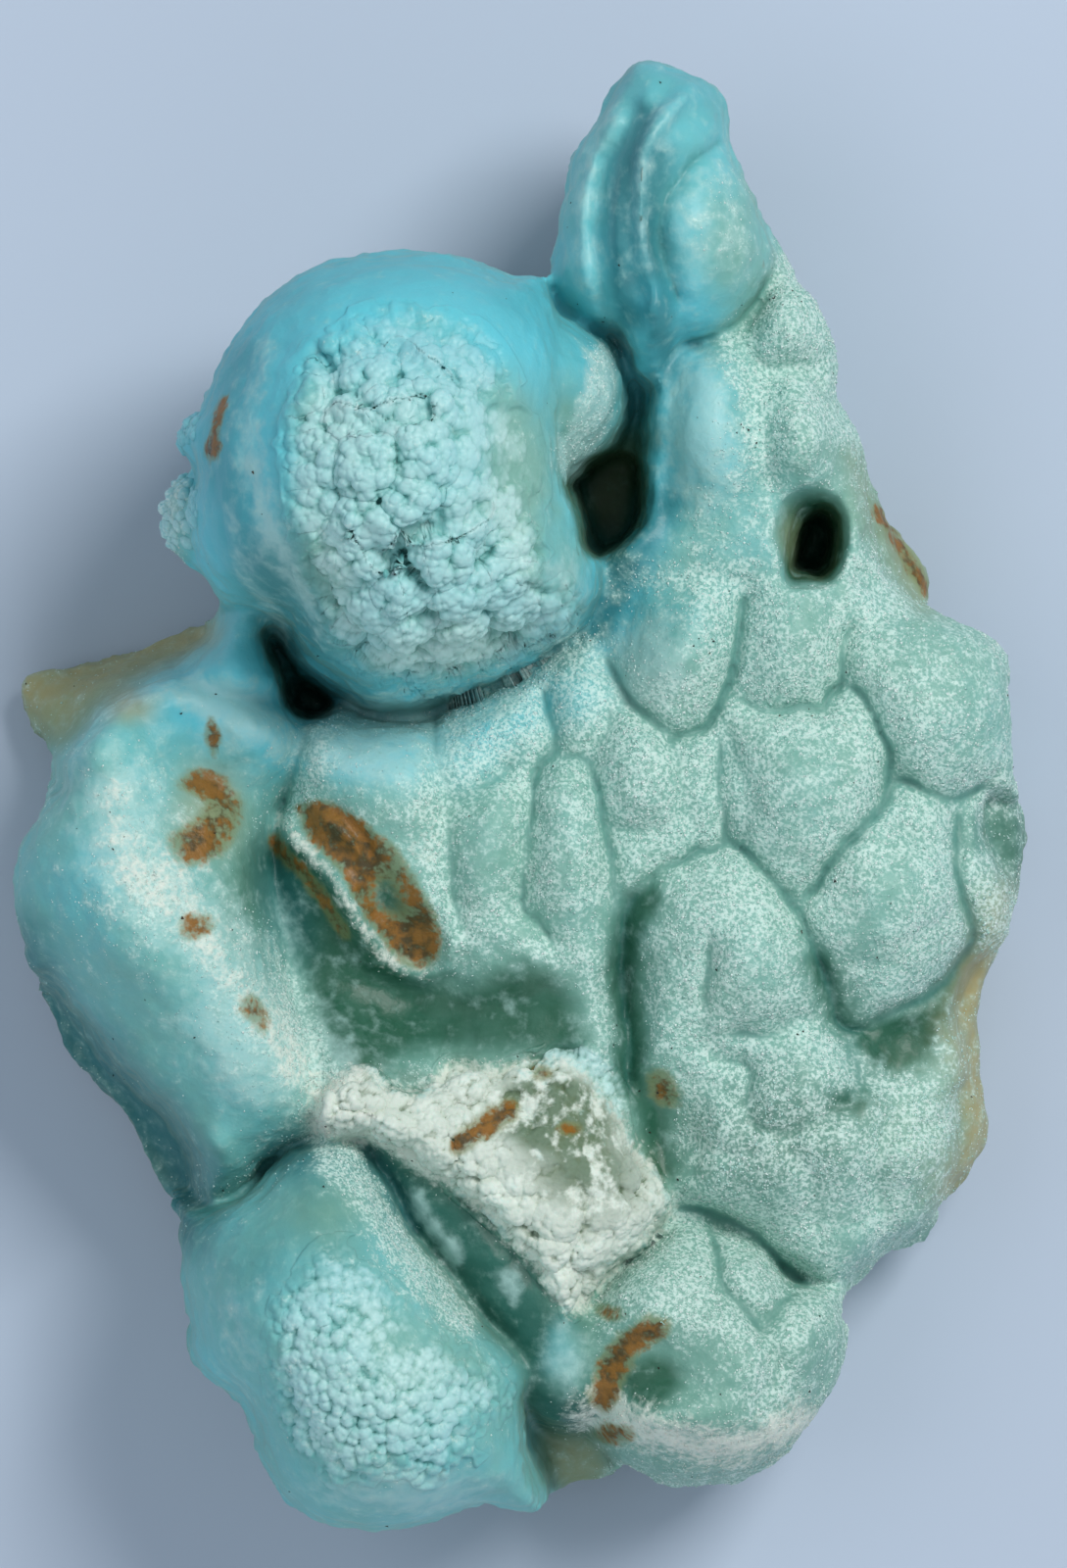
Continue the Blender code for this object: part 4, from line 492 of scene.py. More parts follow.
TINTS: dict[Mask, tuple[Wash | Bloom | Streak, ...]] = {
    Mask.BLUE: (
        Wash(-0.62, 5, POPCORN),
        Wash(-0.1, 5, LOWER_POPCORN),
        Bloom(-0.6, 2, 28, 6, 14),
        Bloom(-0.55, -20, 17, 8, 9),
        Bloom(-0.35, -5, 12, 9, 5),
        Bloom(-0.6, 5, 19, 3, 6),
        Bloom(0.3, -10, 39, 12, 8),
        Bloom(0.4, 5, 37, 3, 6),
        Bloom(0.8, -11, 5, 14, 7),
        Bloom(0.8, 2.6, 8.6, 8, 4.5),
        Bloom(0.5, 15, 32, 6, 11),
        Bloom(0.3, 11, 15, 8, 7),
        Bloom(0.25, 19, 24, 8, 18),
        Bloom(0.3, -4, 4, 10, 5),
        Bloom(-0.3, -24, -6, 4, 9),
        Bloom(-0.15, -8, -46, 9, 10),
        Bloom(-0.25, -16, -34, 8, 6),
        Bloom(0.15, -36, -7, 6, 10),
        Bloom(-0.4, 18.6, 47, 4, 9),
        Bloom(0.5, 2.6, -46.5, 4, 5),
        Streak(0.8, 2.2, ((12.4, 41), (12.4, 36), (12.2, 30), (11, 24), (8.4, 18), (7, 13))),
        Streak(0.7, 2.6, ((-30, 8.6), (-24, 6.4), (-18, 4.6), (-10, 6.6), (-2, 8))),
    ),
    Mask.FROST: (
        Wash(0.35, 3, POPCORN),
        Wash(0.3, 3, LOWER_POPCORN),
        Wash(-0.9, 4, HOLLOW),
        Bloom(-0.9, -19, -9, 5, 9, 15),
        Bloom(-0.4, -35, -3, 6, 8),
        Bloom(-0.75, 14, 33, 6, 9),
        Bloom(0.3, 24.5, 32, 4.5, 6),
        Bloom(0.3, 24, 41, 4, 4),
        Bloom(0.35, 35, 8, 7, 8),
        Bloom(-0.5, -3, -4, 5, 8),
        Bloom(-0.25, 4, -3, 4, 7),
        Bloom(-0.4, 10, 13, 7, 7),
        Bloom(-0.45, -11, 4, 9, 5),
        Bloom(0.4, 11, 0, 3.5, 7),
        Bloom(0.55, 17.6, 48.6, 4.4, 7.5),
        Bloom(0.3, -30.2, 25.4, 3.6, 4.4),
        Bloom(0.3, -29.4, 31.6, 2.4, 2.4),
        Bloom(-0.6, 32.6, -21.5, 5.4, 3.2, 25),
        Bloom(-0.5, 28.5, -26, 4, 2.6),
        Bloom(-0.15, 22, -29, 12, 9),
        Bloom(-0.8, 11, -49.5, 5, 3.4),
        Bloom(-0.4, 38.6, -3.6, 2.6, 4.2),
        Bloom(0.25, 28, 11, 6, 5),
        Bloom(0.2, -34, -8, 8, 12, -30),
        Bloom(-1, -12.8, -7.4, 8, 4.4, -52),
        Streak(-0.9, 2.4, ((12, 40), (12.4, 34), (12, 28), (11, 23))),
        Streak(0.5, 1.3, ((14.6, 4.4), (15.2, 1.6), (15.6, -1.4), (15.9, -3.4))),
        Streak(1, 1.8, ((7, 37.5), (6.6, 34), (5.4, 31), (4.2, 29))),
        Streak(0.6, 3.8, CREST),
        Streak(0.9, 1.7, ((-16, -29.6), (-13, -34.6), (-10, -39), (-5.4, -44))),
        Streak(-0.9, 1.8, ((10.4, -9), (9.2, -12), (9, -18), (9.6, -23), (11.2, -28), (12, -32))),
        Streak(-0.35, 2, ((1, -11), (6, -10), (9.4, -10))),
        Streak(-0.6, 2, ((25.2, -14), (27.6, -18.8), (31, -20.8), (35, -18.8), (38.4, -15))),
    ),
    # The jade in the hollow and the green patches is the stone's own colour; the streaks along the valleys
    # below the cells and along the low plate are painted shade.
    Mask.JADE_AND_SHADE: (
        Wash(1, 4, HOLLOW),
        Bloom(0.5, 4, -57, 4, 5),
        Bloom(0.3, -22.5, -40, 4, 5),
        Bloom(0.4, 38.6, -3.6, 2.8, 4.4),
        Bloom(0.6, -23, -8, 4, 9),
        Bloom(0.3, -17, -36, 8, 8),
        Bloom(0.9, 22, -29, 12, 9),
        Bloom(1, -11.3, -8.3, 2.8, 4.2, 25),
        Bloom(0.85, 33, -21.5, 6.4, 3.8, 25),
        Bloom(0.6, 28.5, -26, 4, 2.8),
        Bloom(1.2, 10.8, -50, 4, 3),
        Bloom(-1.3, 3.6, -48, 3.4, 4.6),
        Bloom(0.8, -9.6, -24.6, 2.6, 2),
        Streak(0.6, 3, LOW_PLATE),
        Streak(0.4, 2.4, ((41.6, 1), (42.2, -4), (41.4, -9.5))),
        Streak(1, 1.7, ((10.4, -9), (9.2, -12), (9, -18), (9.6, -23), (11.2, -28), (12, -32))),
        Streak(0.8, 2, ((25.6, -15), (27.6, -18.8), (31, -20.8), (35, -18.8), (38.4, -15))),
        Streak(0.9, 2, ((-20, -5.6), (-17, -11), (-13, -16))),
    ),
    Mask.STAIN: (
        Wash(1.25, 2.4, ((-18.6, -0.8), (-14, -2.4), (-10.5, -5.5), (-8.2, -9), (-7.6, -13), (-9.5, -14.5),
            (-12.5, -11), (-15.5, -6), (-18.2, -2.6))),
        Bloom(-1.2, -11.3, -8.3, 2.8, 4.2, 25),
        Bloom(1.1, -27.4, -3.9, 3.4, 2.6, 15),
        Bloom(1, -27.4, 0.9, 3.4, 1.9, -5),
        Bloom(0.75, -25.4, -1.2, 2.8, 3.2),
        Bloom(0.9, -26.4, 4.9, 1, 2.4),
        Bloom(0.75, -27.5, -11, 2.2, 1.8),
        Bloom(0.75, -23, -18.5, 1.6, 3, 30),
        Bloom(0.9, 8, -54.5, 2.6, 1.8),
        Bloom(0.7, 7.3, -43.7, 2.2, 1.2),
        Bloom(0.9, 12.2, -25.2, 1.8, 2.8, 25),
        Bloom(0.75, 4.2, -28.5, 1.6, 1.2),
        Bloom(0.7, 2, -23.5, 1.5, 1.2),
        Bloom(1, -25.8, 29.3, 1.2, 1.3),
        Streak(1.1, 1, ((-17, -1.5), (-15, -3.4), (-13, -5.5))),
        Streak(0.8, 0.6, ((-21, -3.6), (-18.2, -7.4), (-15.4, -12))),
        Streak(0.9, 0.6, ((30.5, 24.6), (32.2, 22), (34, 19.6), (35, 17.8))),
        Streak(1.2, 1.1, ((6.8, -51), (7.8, -48.6), (9.2, -46.6), (11, -45))),
        Streak(1.1, 0.9, ((-5, -29.5), (-3.2, -28), (-1, -26.5))),
        Streak(1, 0.5, ((-25.3, 33.2), (-25.8, 31.4), (-26, 29.6))),
    ),
    # Painted shade: darker teal along grooves, troughs, the knob's foot and left side, and the low plate's
    # edge.
    Mask.TEAL_SHADE: (
        Bloom(0.35, -21, 17, 6, 9, -30),
        Bloom(0.3, 11, 48, 4, 14),
        Bloom(0.6, -20.4, -9, 3.4, 9, 15),
        Bloom(0.45, -17, -31.6, 5, 4),
        Streak(0.6, 2.4, ((-23.6, 37), (-25.4, 31), (-24.6, 26), (-22.4, 20), (-19, 14))),
        Streak(0.35, 3, ((-20, 42), (-14, 45), (-6, 45), (0, 42))),
        Streak(0.4, 1.1, ((11.4, 41), (11.6, 36), (11.4, 30), (10.6, 25), (8.4, 19.6), (7.4, 15))),
        Streak(0.3, 2.4, ((8.6, 61.6), (13, 61.6), (16.4, 58.6))),
        Streak(1, 3, LOW_PLATE),
        Streak(1, 1.2, ((10.4, 58), (9.3, 55), (8.5, 52), (8.1, 49), (8.1, 45), (9.4, 41))),
        Streak(0.7, 1.3, ((12, 54), (11.2, 50), (11.2, 46), (12.2, 42), (12.6, 36))),
        Streak(0.2, 1.2, ((8.6, 40.4), (9.4, 36), (9.4, 31))),
        Streak(0.8, 1.4, ((-20.6, -31.2), (-17.2, -30.2), (-14.2, -30.4), (-12, -32.6), (-9.8, -36.6))),
        Streak(1, 1.6, ((12, 25), (10.4, 21.5), (8.4, 17.6), (6.4, 14.4), (3.2, 12.2))),
        Streak(0.7, 1.8, ((-13, 9), (-15.4, 10.4), (-18, 13))),
    ),
    Mask.OLIVE: (
        Bloom(0.45, 34, -29, 7, 9),
        Bloom(0.95, 3, -26.6, 7, 4.8),
        Bloom(0.35, 4, -31, 6, 5),
        Bloom(0.3, 7, -33, 6, 6),
        Bloom(0.7, 22.8, 22, 2.4, 4),
        Streak(-1.3, 4.5, LOW_PLATE),
        Streak(0.7, 1.8, ((28.6, 29), (30, 24), (32.6, 20), (34.4, 17))),
    ),
    Mask.TAN: (
        Bloom(0.65, -27, -1, 5, 6),
        Bloom(0.8, -33, 7.6, 4, 2.4),
        Streak(1, 2.3, ((40.8, -10), (39, -17), (38.8, -24), (39.6, -29), (37.5, -33.6))),
        Streak(0.8, 2.6, ((-43, 9), (-36, 11.4), (-28, 14))),
    ),
    # A pale film; the blooms and streaks under the knob, at the neck, at the curl and along the lower lobe's
    # bottom edge are painted light on shaded slopes.
    Mask.FILM_AND_LIGHT: (
        # Painted light on the curl in the knob's shadow.
        Bloom(0.6, -25, 8.5, 9, 3),
        Bloom(0.45, -26, -22, 9, 6, -50),
        Bloom(0.85, 15, 31, 5, 11),
        Bloom(1, -30.2, 25.4, 3.6, 4.4),
        Bloom(1, -29.4, 31.6, 2.4, 2.4),
        Bloom(1, 10.5, 11, 6, 6),
        # Painted light under the knob.
        Bloom(0.9, -10, 4, 9, 5),
        Bloom(0.35, 16, 48, 5, 8),
        Bloom(0.45, -24, -46, 5, 10),
        # Painted light on the lower lobe's bottom edge, which faces away from the light.
        Bloom(0.8, -10, -59, 14, 4),
        Bloom(0.7, 3, 16, 5, 8, -20),
        Bloom(0.35, -22, 24, 5, 16, 12),
        Bloom(0.7, 3.6, -48, 3.4, 4.6),
        Bloom(0.8, -1, -41.6, 3.2, 1.8, -50),
        Streak(1.3, 1.5, ((7, 37), (6.6, 34), (5.4, 31), (4.2, 29))),
        Streak(0.55, 0.9, ((-21.6, 38), (-22.6, 32), (-22, 26), (-20, 20), (-16.6, 13))),
        Streak(0.4, 0.6, ((-24.6, 24), (-23.2, 18.6), (-20, 13.4))),
        Streak(0.4, 1, ((7.4, 57.6), (6, 53.6), (5.3, 50), (4.9, 44))),
        Streak(0.25, 1, ((12, 58), (10.4, 54), (10, 50), (10.6, 45))),
        Streak(0.4, 1.2, ((-36, 6.4), (-30, 9.3), (-24, 8.2))),
        Streak(0.9, 0.9, ((-8.8, -34.4), (-7.4, -36.8), (-5.4, -39.6))),
        Streak(0.9, 4.4, CREST),
        # Painted light along the knob's foot and the neck, in the knob's shadow: these two streaks.
        Streak(0.8, 1.8, ((-14, 6.8), (-9.6, 7.2), (-4, 8.2), (0, 9.6))),
        Streak(0.8, 2.6, ((-26, 6), (-21, 5), (-16, 4.6), (-8, 6.4))),
    ),
    Mask.CRUST: (
        Bloom(0.35, -8.5, -3.5, 3, 5),
        Bloom(0.4, -28.5, -5, 6, 5, -40),
        Streak(0.5, 2, CREST),
        Streak(0.6, 0.9, ((-20.5, -2), (-17, -6), (-14, -11), (-10.6, -14.6), (-8.4, -15))),
        Streak(0.8, 2.2, ((6, -52.5), (8, -53), (12, -54.4), (16, -55.4), (20, -55.4), (24, -53.4))),
        Streak(0.9, 1, ((6.6, -50), (7.2, -51.2), (7.8, -52.3))),
    ),
}

# Groups of specks: X and Y, how many, and one in how many of the nearest places holds one.
SPECKS: tuple[tuple[float, float, int, int], ...] = (
    (22, 42, 4, 3), (23.3, 42.4, 3, 3), (19.2, 30.7, 5, 4), (20, 29.5, 2, 3), (21.3, 45, 2, 3),
    (15.2, 13.2, 5, 4), (25, 7, 2, 3), (7, 40.4, 2, 2), (-19.5, -43, 2, 3), (-17, -47, 3, 3),
    (24, -20, 2, 4), (3.6, -45, 2, 3), (5.5, -26, 12, 30), (8.6, -32.5, 10, 40), (2.4, -31, 7, 40),
    (-2, -28, 5, 40), (-14, -24.6, 3, 20),
)

# The druse is made in three pieces, each from one Y to another.
DRUSE_BANDS: tuple[tuple[float, float], ...] = ((10, 70), (-12, 10), (-70, -12))
DRUSE_TRIES = 330000
DRUSE_SEED = 51

LAMPS: tuple[Lamp, ...] = (
    Lamp("key", (470, 440, 830), 420, 7.3, (1, 0.99, 0.97)),
    Lamp("fill", (-700, 100, 800), 900, 2.3, (0.94, 0.97, 1)),
    Lamp("low", (100, -900, 500), 700, 1.7, (0.96, 0.98, 1)),
)

FIRST_ROUNDS = 160
LATER_ROUNDS = 50
LAST_ROUNDS = 5
OVERSHOOT = 1.9


def smooth_line(points: Outline, closed: bool, per_span: int) -> np.ndarray:
    """Follow a smooth curve through the given points.

    Args:
        points: the points that the curve passes.
        closed: whether the curve comes back to its start.
        per_span: how many points to give between two of the given ones.

    Returns:
        The curve's points, one row each.
    """
    p = np.array(points, float)
    if closed:
        a, b, c, d = (np.roll(p, k, axis=0) for k in (1, 0, -1, -2))
    else:
        ends = np.vstack([2 * p[0] - p[1], p, 2 * p[-1] - p[-2]])
        a, b, c, d = ends[:-3], ends[1:-2], ends[2:-1], ends[3:]
    t = (np.arange(per_span) / per_span)[None, :, None]
    a, b, c, d = (q[:, None, :] for q in (a, b, c, d))
    cubic = (3 * b - 3 * c + d - a) * t**3
    out = 0.5 * (2 * b + (c - a) * t + (2 * a - 5 * b + 4 * c - d) * t**2 + cubic)
    out = out.reshape(-1, 2)
    return out if closed else np.vstack([out, p[-1]])


def line_distance(x: Grid, y: Grid, line: np.ndarray, closed: bool = False) -> Grid:
    """Measure how far each place lies from a line.

    Args:
        x: places across.
        y: places along.
        line: the line's points.
        closed: whether the line's end joins its start.

    Returns:
        The distances, shaped as x.
    """
    best = np.full(x.shape, 1e9)
    starts = line if closed else line[:-1]
    ends = np.roll(line, -1, axis=0) if closed else line[1:]
    for (ax, ay), (bx, by) in zip(starts, ends):
        dx, dy = bx - ax, by - ay
        t = np.clip(((x - ax) * dx + (y - ay) * dy) / (dx * dx + dy * dy), 0, 1)
        best = np.minimum(best, (x - ax - t * dx) ** 2 + (y - ay - t * dy) ** 2)
    return np.sqrt(best)


def is_inside(x: Grid, y: Grid, line: np.ndarray) -> Grid:
    """Tell which places lie inside a closed line.

    Args:
        x: places across.
        y: places along.
        line: the closed line's points.

    Returns:
        True inside, False outside, shaped as x.
    """
    found = np.zeros(x.shape, bool)
    for (ax, ay), (bx, by) in zip(line, np.roll(line, -1, axis=0)):
        if ay != by:
            crosses = (ay > y) != (by > y)
            found ^= crosses & (x < (bx - ax) * (y - ay) / (by - ay) + ax)
    return found


def depth_inside(x: Grid, y: Grid, outline: Outline) -> Grid:
    """Measure how deep inside a smooth outline each place lies.

    Args:
        x: places across.
        y: places along.
        outline: the outline's points.

    Returns:
        The distance to the outline, negative outside it.
    """
    line = smooth_line(outline, True, 4)
    away = line_distance(x, y, line, closed=True)
    return np.where(is_inside(x, y, line), away, -away)


def blur(values: Grid, radius: float, step: float) -> Grid:
    """Smooth a map.

    Args:
        values: the map.
        radius: the Gaussian's radius in millimetres.
        step: the map's step in millimetres.

    Returns:
        The smoothed map.
    """
    pad = int(3 * radius / step) + 2
    big = np.pad(values, pad, mode="edge")
    fy = np.fft.fftfreq(big.shape[0], step)[:, None]
    fx = np.fft.rfftfreq(big.shape[1], step)[None, :]
    gain = np.exp(-2 * (np.pi * radius) ** 2 * (fx**2 + fy**2))
    out = np.fft.irfft2(np.fft.rfft2(big) * gain, s=big.shape)
    return out[pad:-pad, pad:-pad]


def wobble(x: Grid, y: Grid, size: float, seed: int) -> Grid:
    """Make smooth noise on the plane.

    Args:
        x: places across.
        y: places along.
        size: about how wide its lumps are.
        seed: which noise it is.

    Returns:
        Values from -1 to 1.
    """
    table = np.random.default_rng(seed).uniform(-1, 1, (64, 64))
    u, v = x / size, y / size
    i, j = np.floor(u).astype(int), np.floor(v).astype(int)
    a, b = u - i, v - j
    a, b = a * a * (3 - 2 * a), b * b * (3 - 2 * b)
    low = table[i % 64, j % 64] * (1 - a) + table[(i + 1) % 64, j % 64] * a
    high = table[i % 64, (j + 1) % 64] * (1 - a) + table[(i + 1) % 64, (j + 1) % 64] * a
    return low * (1 - b) + high * b


def wobble_3d(points: np.ndarray, size: float, seed: int) -> np.ndarray:
    """Make smooth noise in space.

    Args:
        points: places in millimetres, one row each.
        size: about how wide its lumps are.
        seed: which noise it is.

    Returns:
        Values from -1 to 1, one a point.
    """
    table = np.random.default_rng(seed).uniform(-1, 1, (32, 32, 32))
    q = points / size
    cell = np.floor(q).astype(int)
    f = q - cell
    f = f * f * (3 - 2 * f)
    total = np.zeros(len(points))
    for corner in np.ndindex(2, 2, 2):
        at = (cell + corner) % 32
        weight = np.prod(np.where(corner, f, 1 - f), axis=1)
        total += weight * table[at[:, 0], at[:, 1], at[:, 2]]
    return total


def ease(low: float, high: float, value: np.ndarray) -> np.ndarray:
    """Rise smoothly from 0 at low to 1 at high.

    Args:
        low: where the rise starts.
        high: where it ends.
        value: what is measured.

    Returns:
        Values from 0 to 1.
    """
    t = np.clip((value - low) / (high - low), 0, 1)
    return t * t * (3 - 2 * t)


def oval(x: Grid, y: Grid, form: Swell | Bloom) -> Grid:
    """Give the weight of a soft oval.

    Args:
        x: places across.
        y: places along.
        form: the oval's middle, half axes and turn.

    Returns:
        1 in the middle, falling to 0 at the edge.
    """
    turn = np.radians(form.turn)
    dx, dy = x - form.x, y - form.y
    u = (dx * np.cos(turn) + dy * np.sin(turn)) / form.along
    v = (dy * np.cos(turn) - dx * np.sin(turn)) / form.across
    return (1 - np.clip(u * u + v * v, 0, 1)) ** 2


def soft_max(a: Grid, b: Grid, seam: float) -> Grid:
    """Take the higher of two maps, rounded where they meet.

    Args:
        a: one map.
        b: the other.
        seam: how wide the rounding is.

    Returns:
        The joined map.
    """
    h = np.clip(0.5 + 0.5 * (a - b) / seam, 0, 1)
    return b * (1 - h) + a * h + seam * h * (1 - h)


def relax(drain: Grid, domain: Grid, step: float, rounds: int, start: Grid) -> Grid:
    """Swell a skin that is held down at a domain's edge and by a drain.

    Args:
        drain: how strongly each place is held down.
        domain: where the skin is free.
        step: the map's step.
        rounds: how often to go over the map.
        start: a first guess.

    Returns:
        The swollen skin.
    """
    swollen = np.where(domain, start, 0.0)
    centre = 1.0 / (4.0 + drain * step * step)
    rows, columns = np.indices(domain.shape)
    halves = [domain & ((rows + columns) % 2 == k) for k in (0, 1)]
    for turn in range(rounds):
        push = 1.0 if turn < 2 or turn >= rounds - LAST_ROUNDS else OVERSHOOT
        for cells in halves:
            around = np.zeros_like(swollen)
            around[1:] += swollen[:-1]
            around[:-1] += swollen[1:]
            around[:, 1:] += swollen[:, :-1]
            around[:, :-1] += swollen[:, 1:]
            change = (around + step * step) * centre - swollen
            swollen = np.where(cells, swollen + push * change, swollen)
    return swollen


def swell_skin(drain: Grid, domain: Grid, step: float) -> Grid:
    """Work a swollen skin out on a coarse grid first and then on finer ones.

    Args:
        drain: how strongly each place is held down.
        domain: where the skin is free.
        step: the map's step.

    Returns:
        The swollen skin.
    """
    if step >= 1.0:
        return relax(drain, domain, step, FIRST_ROUNDS, np.zeros(domain.shape))
    coarse = swell_skin(drain[::2, ::2], domain[::2, ::2], step * 2)
    start = np.repeat(np.repeat(coarse, 2, axis=0), 2, axis=1)
    return relax(drain, domain, step, LATER_ROUNDS, start[:domain.shape[0], :domain.shape[1]])


@dataclass
class Relief:
    """The stone's face, underside and tints as maps on one grid."""

    step: float = 0.25
    width: float = 86.4
    length: float = 125.7
    margin: float = 3.0
    wall_slope: float = 7.0
    wall_reach: float = 5.0
    tint_blend: float = 0.7
    crease_depth: float = 3.7
    crease_shoulder: float = 1.7
    crease_width: float = 0.4
    crease_reach: float = 2.0
    crease_pull: float = 2.0
    crease_ends: tuple[float, float] = (-0.8, 1.6)
    crease_unevenness: float = 0.25
    crease_patch: float = 4.5
    crack_depth: float = 0.8
    crack_width: float = 0.3
    crack_from: float = 6.0
    hole_lip: float = 0.4
    hole_shade: float = 0.8
    rim_frost: float = 0.7
    flat_frost: float = 0.72
    rim_band: float = 1.0
    rim_blend: float = 3.0
    rim_thickness: float = 2.2
    undercut_least: float = 1.5
    undercut_share: float = 0.42
    undercut_unevenness: float = 0.35
    undercut_patch: float = 9.0
    horn_lift: tuple[float, float] = (47.0, 0.9)
    base_foot: float = 5.0
    highest: float = 52.0
    softness: float = 0.15
    wander: tuple[tuple[float, float], ...] = ((4.0, 0.4), (1.6, 0.18), (0.8, 0.1))

    def __post_init__(self) -> None:
        """Work all the maps out."""
        self.left, self.low = -self.width / 2 - self.margin, -self.length / 2 - self.margin
        xs = np.arange(self.left, -self.left + self.step, self.step)
        ys = np.arange(self.low, -self.low + self.step, self.step)
        self.x, self.y = np.meshgrid(xs, ys)
        self.rim = depth_inside(self.x, self.y, SILHOUETTE)
        self.bent_x, self.bent_y = self.x.copy(), self.y.copy()
        for number, (size, reach) in enumerate(self.wander):
            self.bent_x += reach * wobble(self.x, self.y, size, 2 * number + 1)
            self.bent_y += reach * wobble(self.x, self.y, size, 2 * number + 2)
        self.masks: dict[Mask, Grid] = {mask: np.zeros(self.x.shape) for mask in Mask}
        self.face = self._face()
        self.under = self._underside()
        self._tint()

    def _patch(self, points: Outline, reach: float) -> tuple[slice, slice]:
        """Find the part of the grid around some points.

        Args:
            points: the points.
            reach: how far beyond them to go.

        Returns:
            Slices of rows and columns.
        """
        p = np.array(points, float)
        corner, count = np.array((self.left, self.low)), self.x.shape[::-1]
        first = np.clip((p.min(axis=0) - reach - corner) / self.step, 0, count).astype(int)
        last = np.clip((p.max(axis=0) + reach - corner) / self.step, 0, count).astype(int)
        return np.s_[first[1]:last[1] + 1, first[0]:last[0] + 1]

    def _near_line(self, line: Outline, reach: float) -> Grid:
        """Measure the distance to an open line near it, far values elsewhere.

        Args:
            line: the line's points.
            reach: how far from it the distance is worked out.

        Returns:
            The distances.
        """
        away = np.full(self.x.shape, 1e3)
        at = self._patch(line, reach)
        away[at] = line_distance(self.bent_x[at], self.bent_y[at], smooth_line(line, False, 3))
        return away

    def _in_outline(self, edge: Outline, reach: float) -> Grid:
        """Measure the depth inside an outline, and far below zero well outside it.

        Args:
            edge: the outline.
            reach: how far outside the depth is worked out.

        Returns:
            The depths.
        """
        depth = np.full(self.x.shape, -1e3)
        at = self._patch(edge, reach)
        depth[at] = depth_inside(self.bent_x[at], self.bent_y[at], edge)
        return depth

    def _growth_top(self, growth: Growth) -> Grid:
        """Raise one growth over the whole face.

        Args:
            growth: the growth.

        Returns:
            Its height: a dome inside its outline, a steep wall outside.
        """
        depth = np.minimum(self._in_outline(growth.edge, self.wall_reach), self.rim)
        domain = depth > 0
        rows, columns = np.flatnonzero(domain.any(axis=1)), np.flatnonzero(domain.any(axis=0))
        at = np.s_[rows[0] - 1:rows[-1] + 2, columns[0] - 1:columns[-1] + 2]
        skin = np.zeros_like(depth)
        skin[at] = swell_skin(np.full(domain[at].shape, growth.span**-2), domain[at], self.step)
        dome = np.sqrt(skin / skin.max())
        middle_x, middle_y = self.x[domain].mean(), self.y[domain].mean()
        tilt = growth.lean[0] * (self.bent_x - middle_x) + growth.lean[1] * (self.bent_y - middle_y)
        outside = np.minimum(depth, 0) * self.wall_slope
        return growth.foot + tilt + growth.rise * dome + outside

    def _face(self) -> Grid:
        """Raise all growths, swells and creases, and note whose growth shows where."""
        face = np.full(self.x.shape, -1e3)
        shown = []
        for growth in GROWTHS:
            top = self._growth_top(growth)
            shown.append(top)
            face = soft_max(top, face, growth.seam)
        owner = np.argmax(np.array(shown), axis=0)
        for number, growth in enumerate(GROWTHS):
            share = blur((owner == number).astype(float), self.tint_blend, self.step)
            for mask, value in growth.tints.items():
                self.masks[mask] += value * share
        for swell in SWELLS:
            face += swell.rise * oval(self.bent_x, self.bent_y, swell)
        for ridge in RIDGES:
            away = self._near_line(ridge.line, 3 * ridge.width)
            face += ridge.rise * np.exp(-((away / ridge.width) ** 2))
        drain = np.full(self.x.shape, self.crease_shoulder**-2)
        crack = np.zeros(self.x.shape)
        uneven = 1 + self.crease_unevenness * wobble(self.x, self.y, self.crease_patch, 7)
        for crease in CREASES:
            away = self._near_line(crease.line, self.crease_reach)
            tip = np.full(self.x.shape, 1e3)
            for end_x, end_y in (crease.line[0], crease.line[-1]):
                tip = np.minimum(tip, np.hypot(self.x - end_x, self.y - end_y))
            strength = crease.strength * uneven * ease(*self.crease_ends, tip)
            drain += self.crease_pull * strength**2 * np.exp(-((away / self.crease_width) ** 2))
            share = np.minimum(strength**2 / self.crack_from, 1) * np.exp(-((away / self.crack_width) ** 2))
            crack = np.maximum(crack, share)
        skin = swell_skin(drain, self.rim > -self.margin, self.step)
        pillow = np.sqrt(np.clip(skin * self.crease_shoulder**-2, 0, 1))
        self.masks[Mask.DIP] = 1 - pillow
        self.masks[Mask.CRACK] = crack
        face -= self.crease_depth * (1 - pillow) + self.crack_depth * crack
        for hole in HOLES:
            depth = self._in_outline(hole.edge, 1.0)
            sunk = np.clip(hole.slope * (depth + self.hole_lip), 0, hole.depth)
            face -= sunk
            # Painted shade: the deeper a hole goes, the more dark jade green its walls take.
            self.masks[Mask.JADE_AND_SHADE] += self.hole_shade * ease(0.5, 4.0, sunk)
            self.masks[Mask.FROST] -= ease(0.0, 2.0, sunk)
        return blur(np.maximum(face, self.base_foot), self.softness, self.step)

    def _underside(self) -> Grid:
        """Shape the broken back: flat in the middle, curving up to the rim all round."""
        band = (self.rim > 0) & (self.rim < self.rim_band)
        share = blur(band.astype(float), self.rim_blend, self.step)
        edge = blur(np.where(band, self.face, 0), self.rim_blend, self.step) / np.maximum(share, 1e-6)
        edge = np.clip(edge, self.base_foot, self.highest)
        uneven = 1 + self.undercut_unevenness * wobble(self.x, self.y, self.undercut_patch, 5)
        reach = self.undercut_least + self.undercut_share * edge * uneven
        inward = np.clip(self.rim / reach, 0, 1)
        under = (edge - self.rim_thickness) * (1 - np.sqrt(1 - (1 - inward) ** 2))
        lifted = self.horn_lift[1] * (self.y - self.horn_lift[0])
        return np.clip(np.maximum(under, lifted), 0, self.face - self.rim_thickness)

